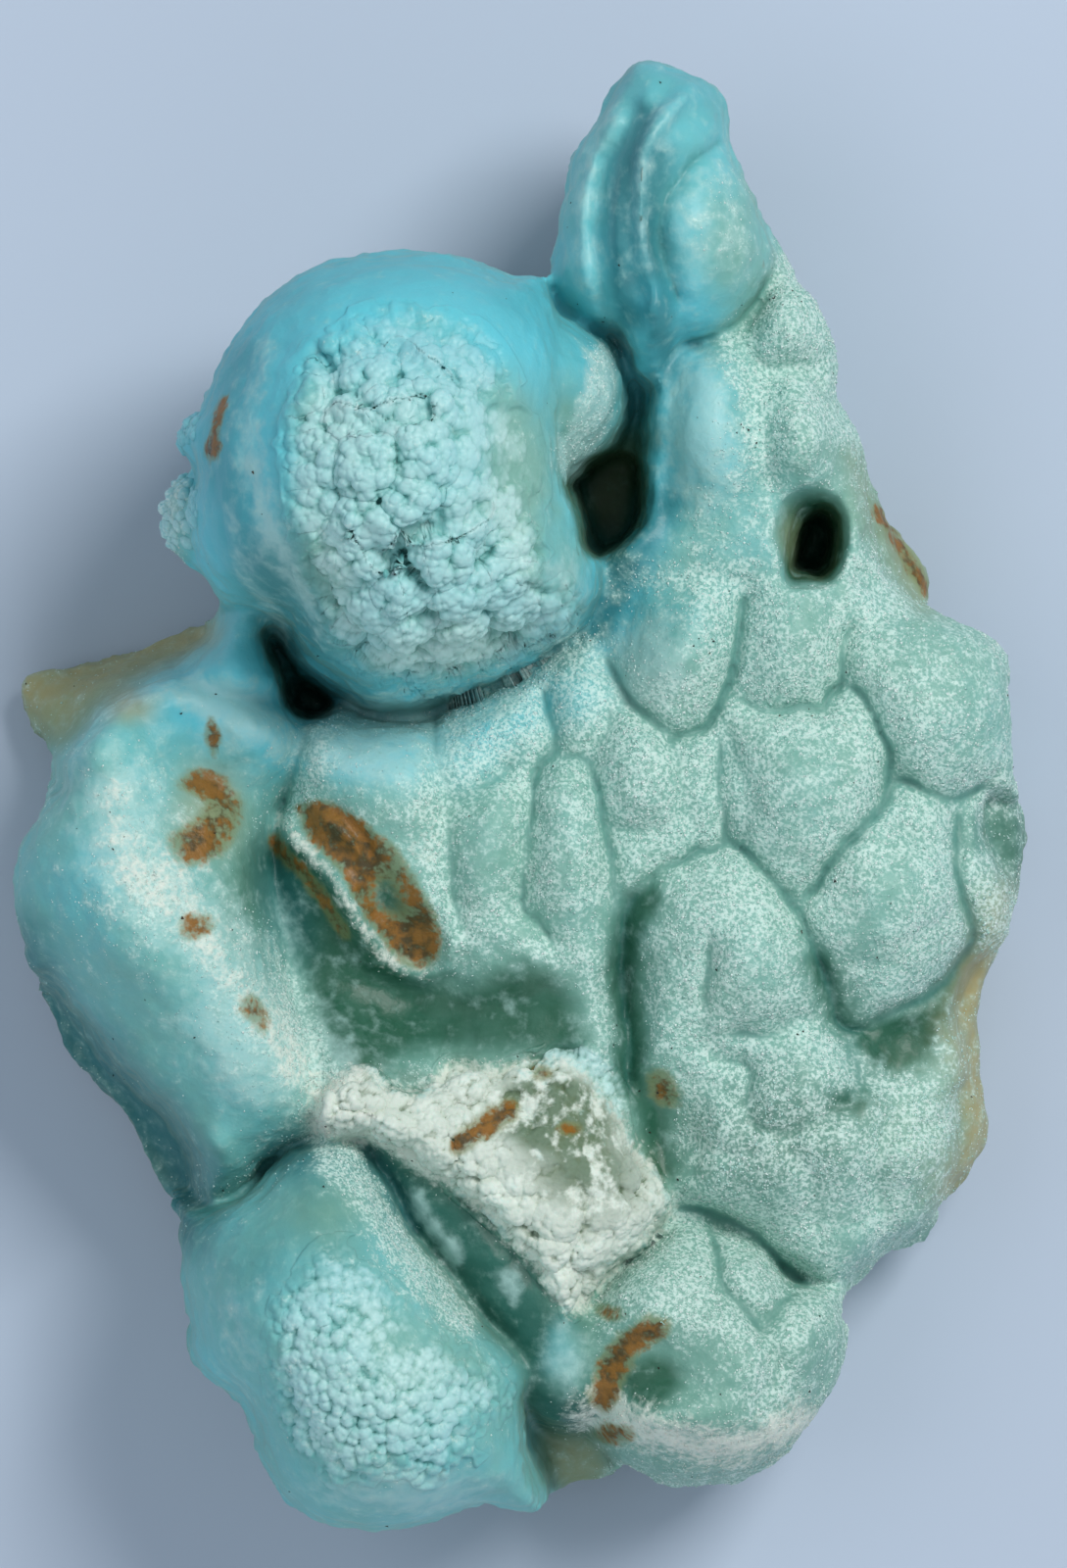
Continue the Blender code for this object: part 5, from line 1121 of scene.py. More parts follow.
    def _tint(self) -> None:
        """Lay the washes, blooms and streaks of tint over the growths' own, and frost the creases' rims."""
        for mask, tints in TINTS.items():
            for tint in tints:
                self.masks[mask] += tint.gain * self._share(tint)
        dip = self.masks[Mask.DIP]
        rims = ease(0.03, 0.2, dip) * (1 - ease(0.4, 0.75, dip))
        self.masks[Mask.FROST] *= self.flat_frost + self.rim_frost * rims

    def _share(self, tint: Wash | Bloom | Streak) -> Grid:
        """Tell how strongly a tint shows at each place.

        Args:
            tint: the tint.

        Returns:
            Values from 0 to 1.
        """
        if isinstance(tint, Bloom):
            return oval(self.bent_x, self.bent_y, tint)
        if isinstance(tint, Streak):
            return np.exp(-((self._near_line(tint.line, 3 * tint.width) / tint.width) ** 2))
        depth = self._in_outline(tint.edge, tint.softness)
        return ease(-0.5 * tint.softness, 0.5 * tint.softness, depth)

    def sample(self, values: Grid, points: np.ndarray) -> np.ndarray:
        """Read a map between its grid points.

        Args:
            values: the map.
            points: places in millimetres.

        Returns:
            The map's value at each place.
        """
        u = (points[:, 0] - self.left) / self.step
        v = (points[:, 1] - self.low) / self.step
        i = np.clip(u.astype(int), 0, values.shape[1] - 2)
        j = np.clip(v.astype(int), 0, values.shape[0] - 2)
        a, b = u - i, v - j
        near = values[j, i] * (1 - a) + values[j, i + 1] * a
        far = values[j + 1, i] * (1 - a) + values[j + 1, i + 1] * a
        return near * (1 - b) + far * b


def get_points(mesh: bpy.types.Mesh) -> np.ndarray:
    """Read a mesh's points.

    Args:
        mesh: the mesh, in metres.

    Returns:
        Its points in millimetres.
    """
    points = np.empty(len(mesh.vertices) * 3, np.float32)
    mesh.vertices.foreach_get("co", points)
    return points.reshape(-1, 3).astype(float) / MM


def set_points(mesh: bpy.types.Mesh, points: np.ndarray) -> None:
    """Move a mesh's points.

    Args:
        mesh: the mesh, in metres.
        points: where its points go, in millimetres.
    """
    mesh.vertices.foreach_set("co", (points * MM).astype(np.float32).ravel())
    mesh.update()


def get_normals(mesh: bpy.types.Mesh) -> np.ndarray:
    """Read which way a mesh faces at each point.

    Args:
        mesh: the mesh.

    Returns:
        Unit directions, one row a point.
    """
    normals = np.empty(len(mesh.vertices) * 3, np.float32)
    mesh.vertices.foreach_get("normal", normals)
    return normals.reshape(-1, 3).astype(float)


def linked(name: str, data: Any) -> bpy.types.Object:
    """Put data in the scene as an object.

    Args:
        name: the object's name.
        data: its mesh, curve, light or camera.

    Returns:
        The object.
    """
    made = bpy.data.objects.new(name, data)
    bpy.context.scene.collection.objects.link(made)
    return made


def baked(source: bpy.types.Object, name: str) -> bpy.types.Mesh:
    """Turn an object into a mesh as its modifiers leave it, and remove it.

    Args:
        source: the object.
        name: the mesh's name.

    Returns:
        The mesh.
    """
    graph = bpy.context.evaluated_depsgraph_get()
    mesh = bpy.data.meshes.new_from_object(source.evaluated_get(graph))
    mesh.name = name
    bpy.data.objects.remove(source, do_unlink=True)
    return mesh


def evenly_divided(mesh: bpy.types.Mesh, voxel: float) -> bpy.types.Mesh:
    """Rebuild a closed mesh from even cells.

    Args:
        mesh: the mesh.
        voxel: the cells' size in millimetres.

    Returns:
        The new mesh.
    """
    item = linked("dividing", mesh)
    remesh = item.modifiers.new("even_skin", "REMESH")
    remesh.mode = "VOXEL"
    remesh.voxel_size = voxel * MM
    return baked(item, mesh.name)


def thinned(mesh: bpy.types.Mesh, triangles: int, where: np.ndarray | None = None) -> bpy.types.Mesh:
    """Drop the triangles that show least.

    Args:
        mesh: the mesh.
        triangles: about how many to keep.
        where: which points may go, or None for all.

    Returns:
        The new mesh.
    """
    count = sum(len(face.vertices) - 2 for face in mesh.polygons)
    if count <= triangles:
        return mesh
    item = linked("thinning", mesh)
    thin = item.modifiers.new("fewer_faces", "DECIMATE")
    thin.ratio = triangles / count
    if where is not None:
        item.vertex_groups.new(name="back").add(np.flatnonzero(where).tolist(), 1.0, "REPLACE")
        thin.vertex_group = "back"
    return baked(item, mesh.name)


@dataclass
class StoneSkin:
    """The specimen's whole skin as one closed mesh."""

    relief: Relief
    slab_thickness: float = 4.0
    slab_voxel: float = 0.45
    skin_voxel: float = 0.34
    triangles: int = 197000
    back_share: float = 0.8
    back_facing: float = -0.2
    base_cut: float = 0.35
    broken_size: float = 6.0
    broken_height: float = 1.1
    broken_grain: float = 2.0
    broken_grain_height: float = 0.45
    fine_size: float = 0.9
    fine_height: float = 0.2
    face_sizes: tuple[float, float] = (2.4, 5.0)
    face_fine: float = 0.6
    face_height: float = 0.17
    frost_size: float = 0.55
    frost_height: float = 0.08
    coat_from: float = 0.4
    rough_from: float = 3.0
    inset: float = 0.12

    def build(self) -> bpy.types.Object:
        """Build the skin.

        Returns:
            The object, with its masks as attributes.
        """
        mesh = self._slab()
        self._settle(mesh)
        mesh = evenly_divided(mesh, self.skin_voxel)
        log.info("even skin: %d points", len(mesh.vertices))
        self._carve(mesh)
        back = get_normals(mesh)[:, 2] < self.back_facing
        mesh = thinned(mesh, int(2 * len(back) * (1 - self.back_share * back.mean())), back)
        mesh = thinned(mesh, self.triangles)
        self._fit(mesh)
        mark(mesh, self.relief)
        mesh.shade_smooth()
        mesh.name = "aragonite_skin"
        return linked("aragonite_skin", mesh)

    def _slab(self) -> bpy.types.Mesh:
        """Cut the silhouette out as a flat slab, evenly divided."""
        curve = bpy.data.curves.new("outline", "CURVE")
        curve.dimensions = "2D"
        curve.fill_mode = "BOTH"
        curve.extrude = self.slab_thickness / 2 * MM
        line = smooth_line(SILHOUETTE, True, 4) * MM
        spline = curve.splines.new("POLY")
        spline.points.add(len(line) - 1)
        rows = np.column_stack([line, np.zeros(len(line)), np.ones(len(line))])
        spline.points.foreach_set("co", rows.ravel())
        spline.use_cyclic_u = True
        return evenly_divided(baked(linked("outline", curve), "slab"), self.slab_voxel)

    def _settle(self, mesh: bpy.types.Mesh) -> None:
        """Stretch the flat slab between the underside and the face.

        Args:
            mesh: the slab.
        """
        points = get_points(mesh)
        share = np.clip(points[:, 2] / self.slab_thickness + 0.5, 0, 1)
        under = self.relief.sample(self.relief.under, points)
        face = self.relief.sample(self.relief.face, points)
        points[:, 2] = under + share * (face - under)
        set_points(mesh, points)

    def _carve(self, mesh: bpy.types.Mesh) -> None:
        """Raise the grains on the face and break up the sides and the back.

        Args:
            mesh: the skin.
        """
        points, normals = get_points(mesh), get_normals(mesh)
        broken = np.clip(0.5 - normals[:, 2] * 2, 0, 1)
        above_base = np.clip(points[:, 2] / self.rough_from, 0, 1)
        grain = wobble_3d(points, self.broken_grain, 12)
        fine = wobble_3d(points, self.fine_size, 14)
        break_up = self.broken_height * np.abs(wobble_3d(points, self.broken_size, 11))
        break_up += self.broken_grain_height * grain + self.fine_height * fine
        shift = broken * above_base * break_up
        small, large = (wobble_3d(points, size, 12 + k) for k, size in enumerate(self.face_sizes))
        rough = small + large + self.face_fine * fine
        shift += (1 - broken) * self.face_height * rough
        frost = np.clip(self.relief.sample(self.relief.masks[Mask.FROST], points), 0, 1)
        shift += (1 - broken) * frost * self.frost_height * wobble_3d(points, self.frost_size, 15)
        for coat in COATS:
            depth = coat_depth(coat, points[:, 0], points[:, 1])
            covered = ease(self.coat_from, coat.fade + self.coat_from, depth)
            shift -= coat.room * covered * (normals[:, 2] > 0)
        set_points(mesh, points + normals * shift[:, None])

    def _fit(self, mesh: bpy.types.Mesh) -> None:
        """Fit the skin inside the solid that it stands for, with its base flat on the ground.

        Args:
            mesh: the skin.
        """
        low, high = (np.array(corner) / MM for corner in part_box(NODE))
        points = get_points(mesh)
        own_low, own_high = points.min(axis=0), points.max(axis=0)
        self.scale = np.minimum((high - low - 2 * self.inset) / (own_high - own_low), 1)
        self.scale[2] = min((high[2] - self.inset) / (own_high[2] - self.base_cut), 1)
        self.shift = (low + high) / 2 - (own_low + own_high) / 2 * self.scale
        self.shift[2] = -self.base_cut * self.scale[2]
        set_points(mesh, self.placed(points))

    def placed(self, points: np.ndarray) -> np.ndarray:
        """Move points as the fit moved the skin.

        Args:
            points: places on the relief.

        Returns:
            Their places on the part.
        """
        moved = points * self.scale + self.shift
        moved[:, 2] = np.maximum(moved[:, 2], 0)
        return moved


def coat_depth(coat: Coat, x: Grid, y: Grid) -> Grid:
    """Measure how deep inside a coating's ragged edge each place lies.

    Args:
        coat: the coating.
        x: places across.
        y: places along.

    Returns:
        The depth, negative outside.
    """
    ragged = wobble(x, y, 2.6, coat.seed) + 0.4 * wobble(x, y, 0.9, coat.seed + 1)
    return depth_inside(x, y, coat.edge) + coat.reach + coat.ragged * np.minimum(ragged, 0)


def spaced(points: np.ndarray, spacing: np.ndarray, seed: int) -> list[int]:
    """Choose points that keep their distance from each other.

    Args:
        points: the places to choose from.
        spacing: how far each keeps the others away.
        seed: which random order they are tried in.

    Returns:
        The chosen places' numbers.
    """
    tree = kdtree.KDTree(len(points))
    for number, point in enumerate(points):
        tree.insert(point, number)
    tree.balance()
    free = np.ones(len(points), bool)
    chosen = []
    for number in np.random.default_rng(seed).permutation(len(points)):
        if free[number]:
            chosen.append(int(number))
            for _, other, _ in tree.find_range(points[number], spacing[number]):
                free[other] = False
    return chosen


def ball_heights(points: np.ndarray, chance: np.ndarray, spacing: float, seed: int) -> np.ndarray:
    """Work out how high balls stand that sit on some points at random.

    Args:
        points: the places, closely set.
        chance: how likely a ball sits on each.
        spacing: about how far apart the balls are.
        seed: which random draw it is.

    Returns:
        0 between the balls to 1 on their tops, one a place.
    """
    bend = [wobble_3d(points, 0.8 * spacing, seed + 100 * k) for k in range(3)]
    places = points + 0.15 * spacing * np.column_stack(bend)
    random = np.random.default_rng(seed)
    sizes = spacing * random.uniform(0.75, 1.2, len(places))
    tops = random.uniform(0.75, 1.0, len(places)) * (random.random(len(places)) < chance)
    tree = kdtree.KDTree(len(places))
    for number, place in enumerate(places):
        tree.insert(place, number)
    tree.balance()
    free = np.ones(len(places), bool)
    height = np.zeros(len(places))
    for number in random.permutation(len(places)):
        if not free[number]:
            continue
        reach = 0.66 * sizes[number]
        for _, other, away in tree.find_range(places[number], 1.25 * reach):
            free[other] = False
            if away < reach:
                height[other] = max(height[other], tops[number] * (1 - (away / reach) ** 2) ** 0.5)
    return height


def grid_normals(points: np.ndarray) -> np.ndarray:
    """Work out which way a grid of points faces.

    Args:
        points: rows by columns by three.

    Returns:
        Unit directions of the same shape.
    """
    across = np.cross(np.gradient(points, axis=1), np.gradient(points, axis=0))
    return across / np.linalg.norm(across, axis=2, keepdims=True)


def mesh_of(name: str, count: int, index: np.ndarray) -> bpy.types.Mesh:
    """Start a mesh of triangles.

    Args:
        name: its name.
        count: how many points it has.
        index: three points' numbers for each triangle.

    Returns:
        The mesh, its points not yet set.
    """
    mesh = bpy.data.meshes.new(name)
    mesh.vertices.add(count)
    mesh.loops.add(index.size)
    mesh.polygons.add(len(index))
    mesh.loops.foreach_set("vertex_index", index.ravel().astype(np.int32))
    mesh.polygons.foreach_set("loop_start", np.arange(0, index.size, 3, dtype=np.int32))
    mesh.update(calc_edges=True)
    return mesh


def set_map(mesh: bpy.types.Mesh, places: np.ndarray) -> None:
    """Lay a mesh out for its textures.

    Args:
        mesh: the mesh.
        places: where each triangle's corners go, from 0 to 1.
    """
    layer = mesh.uv_layers.new(name="OFBake")
    layer.data.foreach_set("uv", places.astype(np.float32).ravel())


@dataclass
class Surface:
    """A skin's triangles, for scattering grains over them."""

    corners: np.ndarray
    facing: np.ndarray
    share: np.ndarray

    @classmethod
    def of(cls, mesh: bpy.types.Mesh) -> "Surface":
        """Read the triangles of a mesh.

        Args:
            mesh: the mesh, in metres.

        Returns:
            Its surface, in millimetres.
        """
        mesh.calc_loop_triangles()
        index = np.empty(len(mesh.loop_triangles) * 3, np.int32)
        mesh.loop_triangles.foreach_get("vertices", index)
        corners = get_points(mesh)[index.reshape(-1, 3)]
        across = np.cross(corners[:, 1] - corners[:, 0], corners[:, 2] - corners[:, 0])
        area = np.linalg.norm(across, axis=1)
        return cls(corners, across / np.maximum(area, 1e-9)[:, None], area / area.sum())

    def scatter(self, count: int, seed: int) -> tuple[np.ndarray, np.ndarray]:
        """Pick random places, as many to each square millimetre everywhere.

        Args:
            count: how many.
            seed: which random draw it is.

        Returns:
            The places, and which way the surface faces there.
        """
        random = np.random.default_rng(seed)
        picked = random.choice(len(self.share), count, p=self.share)
        a, b = random.random((2, count, 1))
        over = a + b > 1
        a, b = np.where(over, 1 - a, a), np.where(over, 1 - b, b)
        first, second, third = (self.corners[picked, k] for k in range(3))
        return first + a * (second - first) + b * (third - first), self.facing[picked]


@dataclass
class Grains:
    """Many small grains as one joined mesh."""

    name: str
    centres: np.ndarray
    sizes: np.ndarray
    seed: int
    rounds: int = 1
    roughness: float = 0.1
    stretch: tuple[float, float] = (0.6, 1.3)

    def build(self) -> bpy.types.Object:
        """Join a rough little ball or chip at every centre.

        Returns:
            The object, with a tone for each grain.
        """
        own, faces = self._form()
        random = np.random.default_rng(self.seed)
        count = len(self.centres)
        turns = self._turns(random, count)
        form = own[None] * (1 + self.roughness * random.uniform(-1, 1, (count, len(own), 1)))
        form = form * random.uniform(*self.stretch, (count, 1, 3)) * self.sizes[:, None, None]
        points = np.einsum("nij,nkj->nki", turns, form) + self.centres[:, None]
        index = (faces[None] + (np.arange(count) * len(own))[:, None, None]).reshape(-1, 3)
        mesh = mesh_of(self.name, count * len(own), index)
        set_points(mesh, points.reshape(-1, 3))
        tone = np.repeat(random.random(count), len(own)).astype(np.float32)
        mesh.attributes.new("tone", "FLOAT", "POINT").data.foreach_set("value", tone)
        if self.rounds:
            mesh.shade_smooth()
        else:
            self._lay_out(mesh, count, len(faces))
        return linked(self.name, mesh)

    def _form(self) -> tuple[np.ndarray, np.ndarray]:
        """Make one grain: a ball of even triangles, or without rounds a splinter of four.

        Returns:
            Its points, about a unit from its middle, and its triangles.
        """
        if not self.rounds:
            own = np.array([(1, 1, 1), (1, -1, -1), (-1, 1, -1), (-1, -1, 1)]) / 3**0.5
            return own, np.array([(0, 1, 2), (0, 3, 1), (0, 2, 3), (1, 3, 2)])
        shape = bpy.data.meshes.new("grain")
        cage = bmesh.new()
        bmesh.ops.create_icosphere(cage, subdivisions=self.rounds, radius=1)
        cage.to_mesh(shape)
        cage.free()
        own = get_points(shape) * MM
        faces = np.array([tuple(face.vertices) for face in shape.polygons])
        bpy.data.meshes.remove(shape)
        return own, faces

    @staticmethod
    def _lay_out(mesh: bpy.types.Mesh, count: int, sides: int) -> None:
        """Give every grain its own small square of the texture, and every side a corner of it.

        Args:
            mesh: the grains.
            count: how many there are.
            sides: how many triangles each has.
        """
        across, within = int(np.ceil(count**0.5)), int(np.ceil(sides**0.5))
        grain, side = np.divmod(np.arange(count * sides), sides)
        square = np.column_stack([grain % across, grain // across]) / across
        square += np.column_stack([side % within, side // within]) / (across * within)
        corner = np.array(((0.1, 0.1), (0.9, 0.1), (0.1, 0.9))) / (across * within)
        set_map(mesh, square[:, None] + corner[None])

    @staticmethod
    def _turns(random: np.random.Generator, count: int) -> np.ndarray:
        """Draw random turns.

        Args:
            random: where they are drawn from.
            count: how many.

        Returns:
            One rotation matrix each.
        """
        w, x, y, z = (q := random.normal(size=(4, count))) / np.linalg.norm(q, axis=0)
        return np.array([
            [1 - 2 * (y * y + z * z), 2 * (x * y - z * w), 2 * (x * z + y * w)],
            [2 * (x * y + z * w), 1 - 2 * (x * x + z * z), 2 * (y * z - x * w)],
            [2 * (x * z - y * w), 2 * (y * z + x * w), 1 - 2 * (x * x + y * y)],
        ]).transpose(2, 0, 1)


@dataclass
class Sheet:
    """A coating as a fine grid on the relief that swells into balls, its edge sunk into the stone."""

    coat: Coat
    relief: Relief
    skin: StoneSkin
    skirt: float = 0.5
    proud: float = 0.1
    root_level: float = 8.0
    margin: float = 2.0
    ceiling_seam: float = 0.5
    shares: tuple[float, ...] = (0.25, 0.45, 0.3)
    fuzz_size: float = 0.3
    fuzz_height: float = 0.04

    def build(self) -> bpy.types.Object:
        """Build the coating.

        Returns:
            The object, closed below, with its masks as attributes.
        """
        edge = np.array(self.coat.edge)
        low, high = edge.min(axis=0) - self.margin, edge.max(axis=0) + self.margin
        x, y = np.meshgrid(*(np.arange(a, b, self.coat.spacing) for a, b in zip(low, high)))
        inside = coat_depth(self.coat, x, y) > -self.skirt - 0.1
        flat = np.column_stack([x.ravel(), y.ravel()])
        z = self.relief.sample(self.relief.face, flat).reshape(x.shape)
        points, white_lit_tips, cleft_shade = self._swell(np.dstack([x, y, z]), inside)
        mesh = self._mesh(points, inside)
        placed = self.skin.placed(points[inside])
        ceiling = np.full(len(placed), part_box(NODE)[1][2] / MM - self.skin.inset)
        placed[:, 2] = -soft_max(-placed[:, 2], -ceiling, self.ceiling_seam)
        set_points(mesh, np.vstack([placed, self._root(points[inside])]))
        mesh.shade_smooth()
        mark(mesh, self.relief, False)
        for mask, values in ((Mask.PUFF, white_lit_tips), (Mask.CLEFT_SHADE, cleft_shade)):
            values = np.append(values[inside], 0).astype(np.float32)
            mesh.attributes[mask.value].data.foreach_set("value", values)
        top = get_points(mesh)[:, 2].max()
        log.info("%s: highest point %.2f mm", self.coat.name, top)
        return linked(self.coat.name, mesh)

    def _root(self, points: np.ndarray) -> np.ndarray:
        """Find the point deep in the stone that the coating's edge is closed to."""
        return np.array([*points[:, :2].mean(axis=0), self.root_level])

    def _swell(self, points: np.ndarray, inside: Grid) -> tuple[np.ndarray, Grid, Grid]:
        """Swell the grid into balls of each level in turn.

        Args:
            points: the grid's points on the relief.
            inside: which of them the coating covers.

        Returns:
            The moved points, how far each stands out, for the whiter, partly lit tips, and how far it lies
            in a cleft, for painted shade there, each from 0 to 1.
        """
        x, y = points[..., 0], points[..., 1]
        depth = coat_depth(self.coat, x, y)
        cover = ease(0, self.coat.fade, depth)
        strength = 1 - sum(calm.rise * oval(x, y, calm) for calm in self.coat.calm)
        drop = 1 - ease(-self.skirt, 0.3, depth)
        lift = self.proud - (self.proud + self.skirt) * drop - cover * self.coat.lowered
        points = points + grid_normals(points) * lift[..., None]
        white_lit_tips, cleft_shade = np.zeros(x.shape), np.zeros(x.shape)
        aim = grid_normals(points)
        for number, (level, share) in enumerate(zip(self.coat.levels, self.shares)):
            balls = np.zeros(x.shape)
            chance = np.clip(0.25 + 1.5 * cover * strength, 0, 1)[inside]
            balls[inside] = ball_heights(points[inside], chance, level.spacing, self.coat.seed + 2 * number)
            swollen = balls * ease(-0.2, self.coat.fade * (0.6 if number else 1), depth) - 0.5 * cover
            points = points + aim * (level.height * strength * swollen)[..., None]
            aim = grid_normals(points) if number == 0 else aim
            # The balls' tops whiten, partly their own white and partly painted light.
            white_lit_tips += share * balls
            # Painted shade collects in the clefts between the balls.
            cleft_shade += share * (1 - balls) ** 2
        fuzz = wobble_3d(points.reshape(-1, 3), self.fuzz_size, self.coat.seed + 9).reshape(x.shape)
        points = points + grid_normals(points) * (self.fuzz_height * cover * fuzz)[..., None]
        return points, white_lit_tips * cover, cleft_shade * cover * strength

    def _mesh(self, points: np.ndarray, inside: Grid) -> bpy.types.Mesh:
        """Join the grid's cells, and close its edge to one point deep in the stone.

        Args:
            points: the grid's points.
            inside: which of them are used.

        Returns:
            The mesh, with a texture map that looks down on it.
        """
        number = np.full(inside.shape, -1)
        number[inside] = np.arange(inside.sum())
        root = inside.sum()
        cell = inside[:-1, :-1] & inside[:-1, 1:] & inside[1:, 1:] & inside[1:, :-1]
        corners = [number[:-1, :-1], number[:-1, 1:], number[1:, 1:], number[1:, :-1]]
        around = np.pad(cell, 1)
        beside = [around[:-2, 1:-1], around[1:-1, 2:], around[2:, 1:-1], around[1:-1, :-2]]
        a, b, c, d = (corner[cell] for corner in corners)
        faces = [np.column_stack([a, b, c]), np.column_stack([a, c, d])]
        for side in range(4):
            edge = cell & ~beside[side]
            first, second = corners[side][edge], corners[(side + 1) % 4][edge]
            faces.append(np.column_stack([second, first, np.full(len(first), root)]))
        index = np.vstack(faces)
        mesh = mesh_of(self.coat.name, int(root) + 1, index)
        flat = points[inside][:, :2]
        flat = np.vstack([flat - flat.min(axis=0), [0.0, 0.0]]) / (1.02 * np.ptp(flat, axis=0).max())
        places = flat[index]
        places[len(a) * 2:] = ((0.99, 0.98), (1.0, 0.98), (0.99, 0.99))
        set_map(mesh, places)
        return mesh


@dataclass
class Coating:
    """What grows on the skin: frosted warts, druse and specks of dirt."""

    relief: Relief
    surface: Surface
    edge_room: float = 0.7
    wart_x: float = -29.8
    wart_y: tuple[float, float] = (24.4, 31.6)
    wart_reach: float = 2.6
    wart_level: tuple[float, float] = (11, 17)
    wart_sizes: tuple[float, float] = (0.35, 0.8)
    chip_sizes: tuple[float, float] = (0.07, 0.15)
    speck_sizes: tuple[float, float] = (0.07, 0.19)
    stray_specks: int = 110

    def warts(self) -> bpy.types.Object:
        """Grow frosted balls on the two warts at the knob's left side.

        Returns:
            The object.
        """
        places, facing = self._candidates(150000, 41)
        beside = np.minimum(abs(places[:, 1] - self.wart_y[0]), 1.4 * abs(places[:, 1] - self.wart_y[1]))
        wart = self.wart_reach - np.hypot(places[:, 0] - self.wart_x, 0.7 * beside)
        random = np.random.default_rng(43)
        chance = ease(0, 1, wart) * ease(*self.wart_level, places[:, 2])
        keep = (facing[:, 2] > 0.0) & (random.random(len(places)) < chance)
        places, facing = places[keep], facing[keep]
        size = random.uniform(*self.wart_sizes, len(places))
        chosen = spaced(places, size * 1.3, 42)
        radius = size[chosen]
        centres = places[chosen] - facing[chosen] * (radius * 0.45)[:, None]
        warts = self._dress(Grains("warts", centres, radius, 44, rounds=2, roughness=0.12).build())
        white_lit_tips = np.full(len(warts.data.vertices), 0.8, np.float32)
        warts.data.attributes[Mask.PUFF.value].data.foreach_set("value", white_lit_tips)
        return warts

    def druse(self, name: str, count: int, low: float, high: float, seed: int) -> bpy.types.Object:
        """Strew tiny crystal chips where the stone is frosted.

        Args:
            name: the piece's name.
            count: how many places are tried.
            low: where along Y the piece starts.
            high: where it ends.
            seed: which random draw it is.

        Returns:
            The object.
        """
        places, facing = self._candidates(count, seed)
        random = np.random.default_rng(seed + 1)
        frost = self.relief.sample(self.relief.masks[Mask.FROST], places)
        crust = self.relief.sample(self.relief.masks[Mask.CRUST], places)
        bare = self.relief.sample(3 * self.relief.masks[Mask.CRACK] + self.relief.masks[Mask.STAIN], places)
        patchy = 0.5 + 0.5 * wobble_3d(places, 1.1, 33) + 0.3 * wobble_3d(places, 2.6, 34)
        frosted = np.maximum((frost - 0.15) * patchy * 1.4, 0.5 * crust)
        chance = np.clip(frosted - np.clip(bare, 0, 3), 0, 1)
        chance *= ease(-0.15, 0.35, facing[:, 2])
        keep = (random.random(count) < chance) & (places[:, 1] >= low) & (places[:, 1] < high)
        for coat in COATS:
            keep &= coat_depth(coat, places[:, 0], places[:, 1]) < 1.0
        places, facing, frost = places[keep], facing[keep], frost[keep]
        size = random.uniform(*self.chip_sizes, len(places)) * (0.85 + 0.5 * np.clip(frost, 0, 1))
        log.info("%s: %d chips", name, len(places))
        centres = places - facing * (0.1 * size)[:, None]
        return self._dress(Grains(name, centres, size, seed + 2, rounds=0).build())

    def specks(self) -> bpy.types.Object:
        """Scatter the few black specks of dirt.

        Returns:
            The object.
        """
        places, facing = self._candidates(60000, 61)
        up = facing[:, 2] > 0.2
        places, facing = places[up], facing[up]
        random = np.random.default_rng(62)
        centres = []
        for x, y, number, spread in SPECKS:
            near = np.hypot(places[:, 0] - x, places[:, 1] - y)
            centres.extend(places[np.argsort(near)[:number * spread:spread]])
        centres.extend(places[random.choice(len(places), self.stray_specks)])
        centres = np.array(centres)
        sizes = random.uniform(*self.speck_sizes, len(centres))
        return self._dress(Grains("specks", centres, sizes, 63, rounds=0).build())

    def _candidates(self, count: int, seed: int) -> tuple[np.ndarray, np.ndarray]:
        """Pick random places on the skin, and move those too near the box's sides inwards.

        Args:
            count: how many.
            seed: which random draw it is.

        Returns:
            The places, and which way the skin faces there.
        """
        places, facing = self.surface.scatter(count, seed)
        low, high = (np.array(corner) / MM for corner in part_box(NODE))
        inside = np.clip(places, low + self.edge_room, high - self.edge_room)
        places[:, :2] = inside[:, :2]
        places[:, 2] = np.minimum(places[:, 2], inside[:, 2])
        return places, facing

    def _dress(self, item: bpy.types.Object) -> bpy.types.Object:
        """Give grains the tints of the stone below them, and hand them back."""
        mark(item.data, self.relief, False)
        return item


def mark(mesh: bpy.types.Mesh, relief: Relief, sides: bool = True) -> None:
    """Keep each mask as an attribute of a mesh's points.

    Args:
        mesh: the mesh.
        relief: where the masks are.
        sides: whether what faces down counts as broken stone.
    """
    points, normals = get_points(mesh), get_normals(mesh)
    upward = ease(-0.15, 0.3, normals[:, 2])
    for mask, values in relief.masks.items():
        value = np.clip(relief.sample(values, points), 0, 1)
        if mask is Mask.BROKEN and sides:
            value = 1 - upward
        if mask is Mask.STAIN:
            value *= upward
        attribute = mesh.attributes.new(mask.value, "FLOAT", "POINT")
        attribute.data.foreach_set("value", value.astype(np.float32))


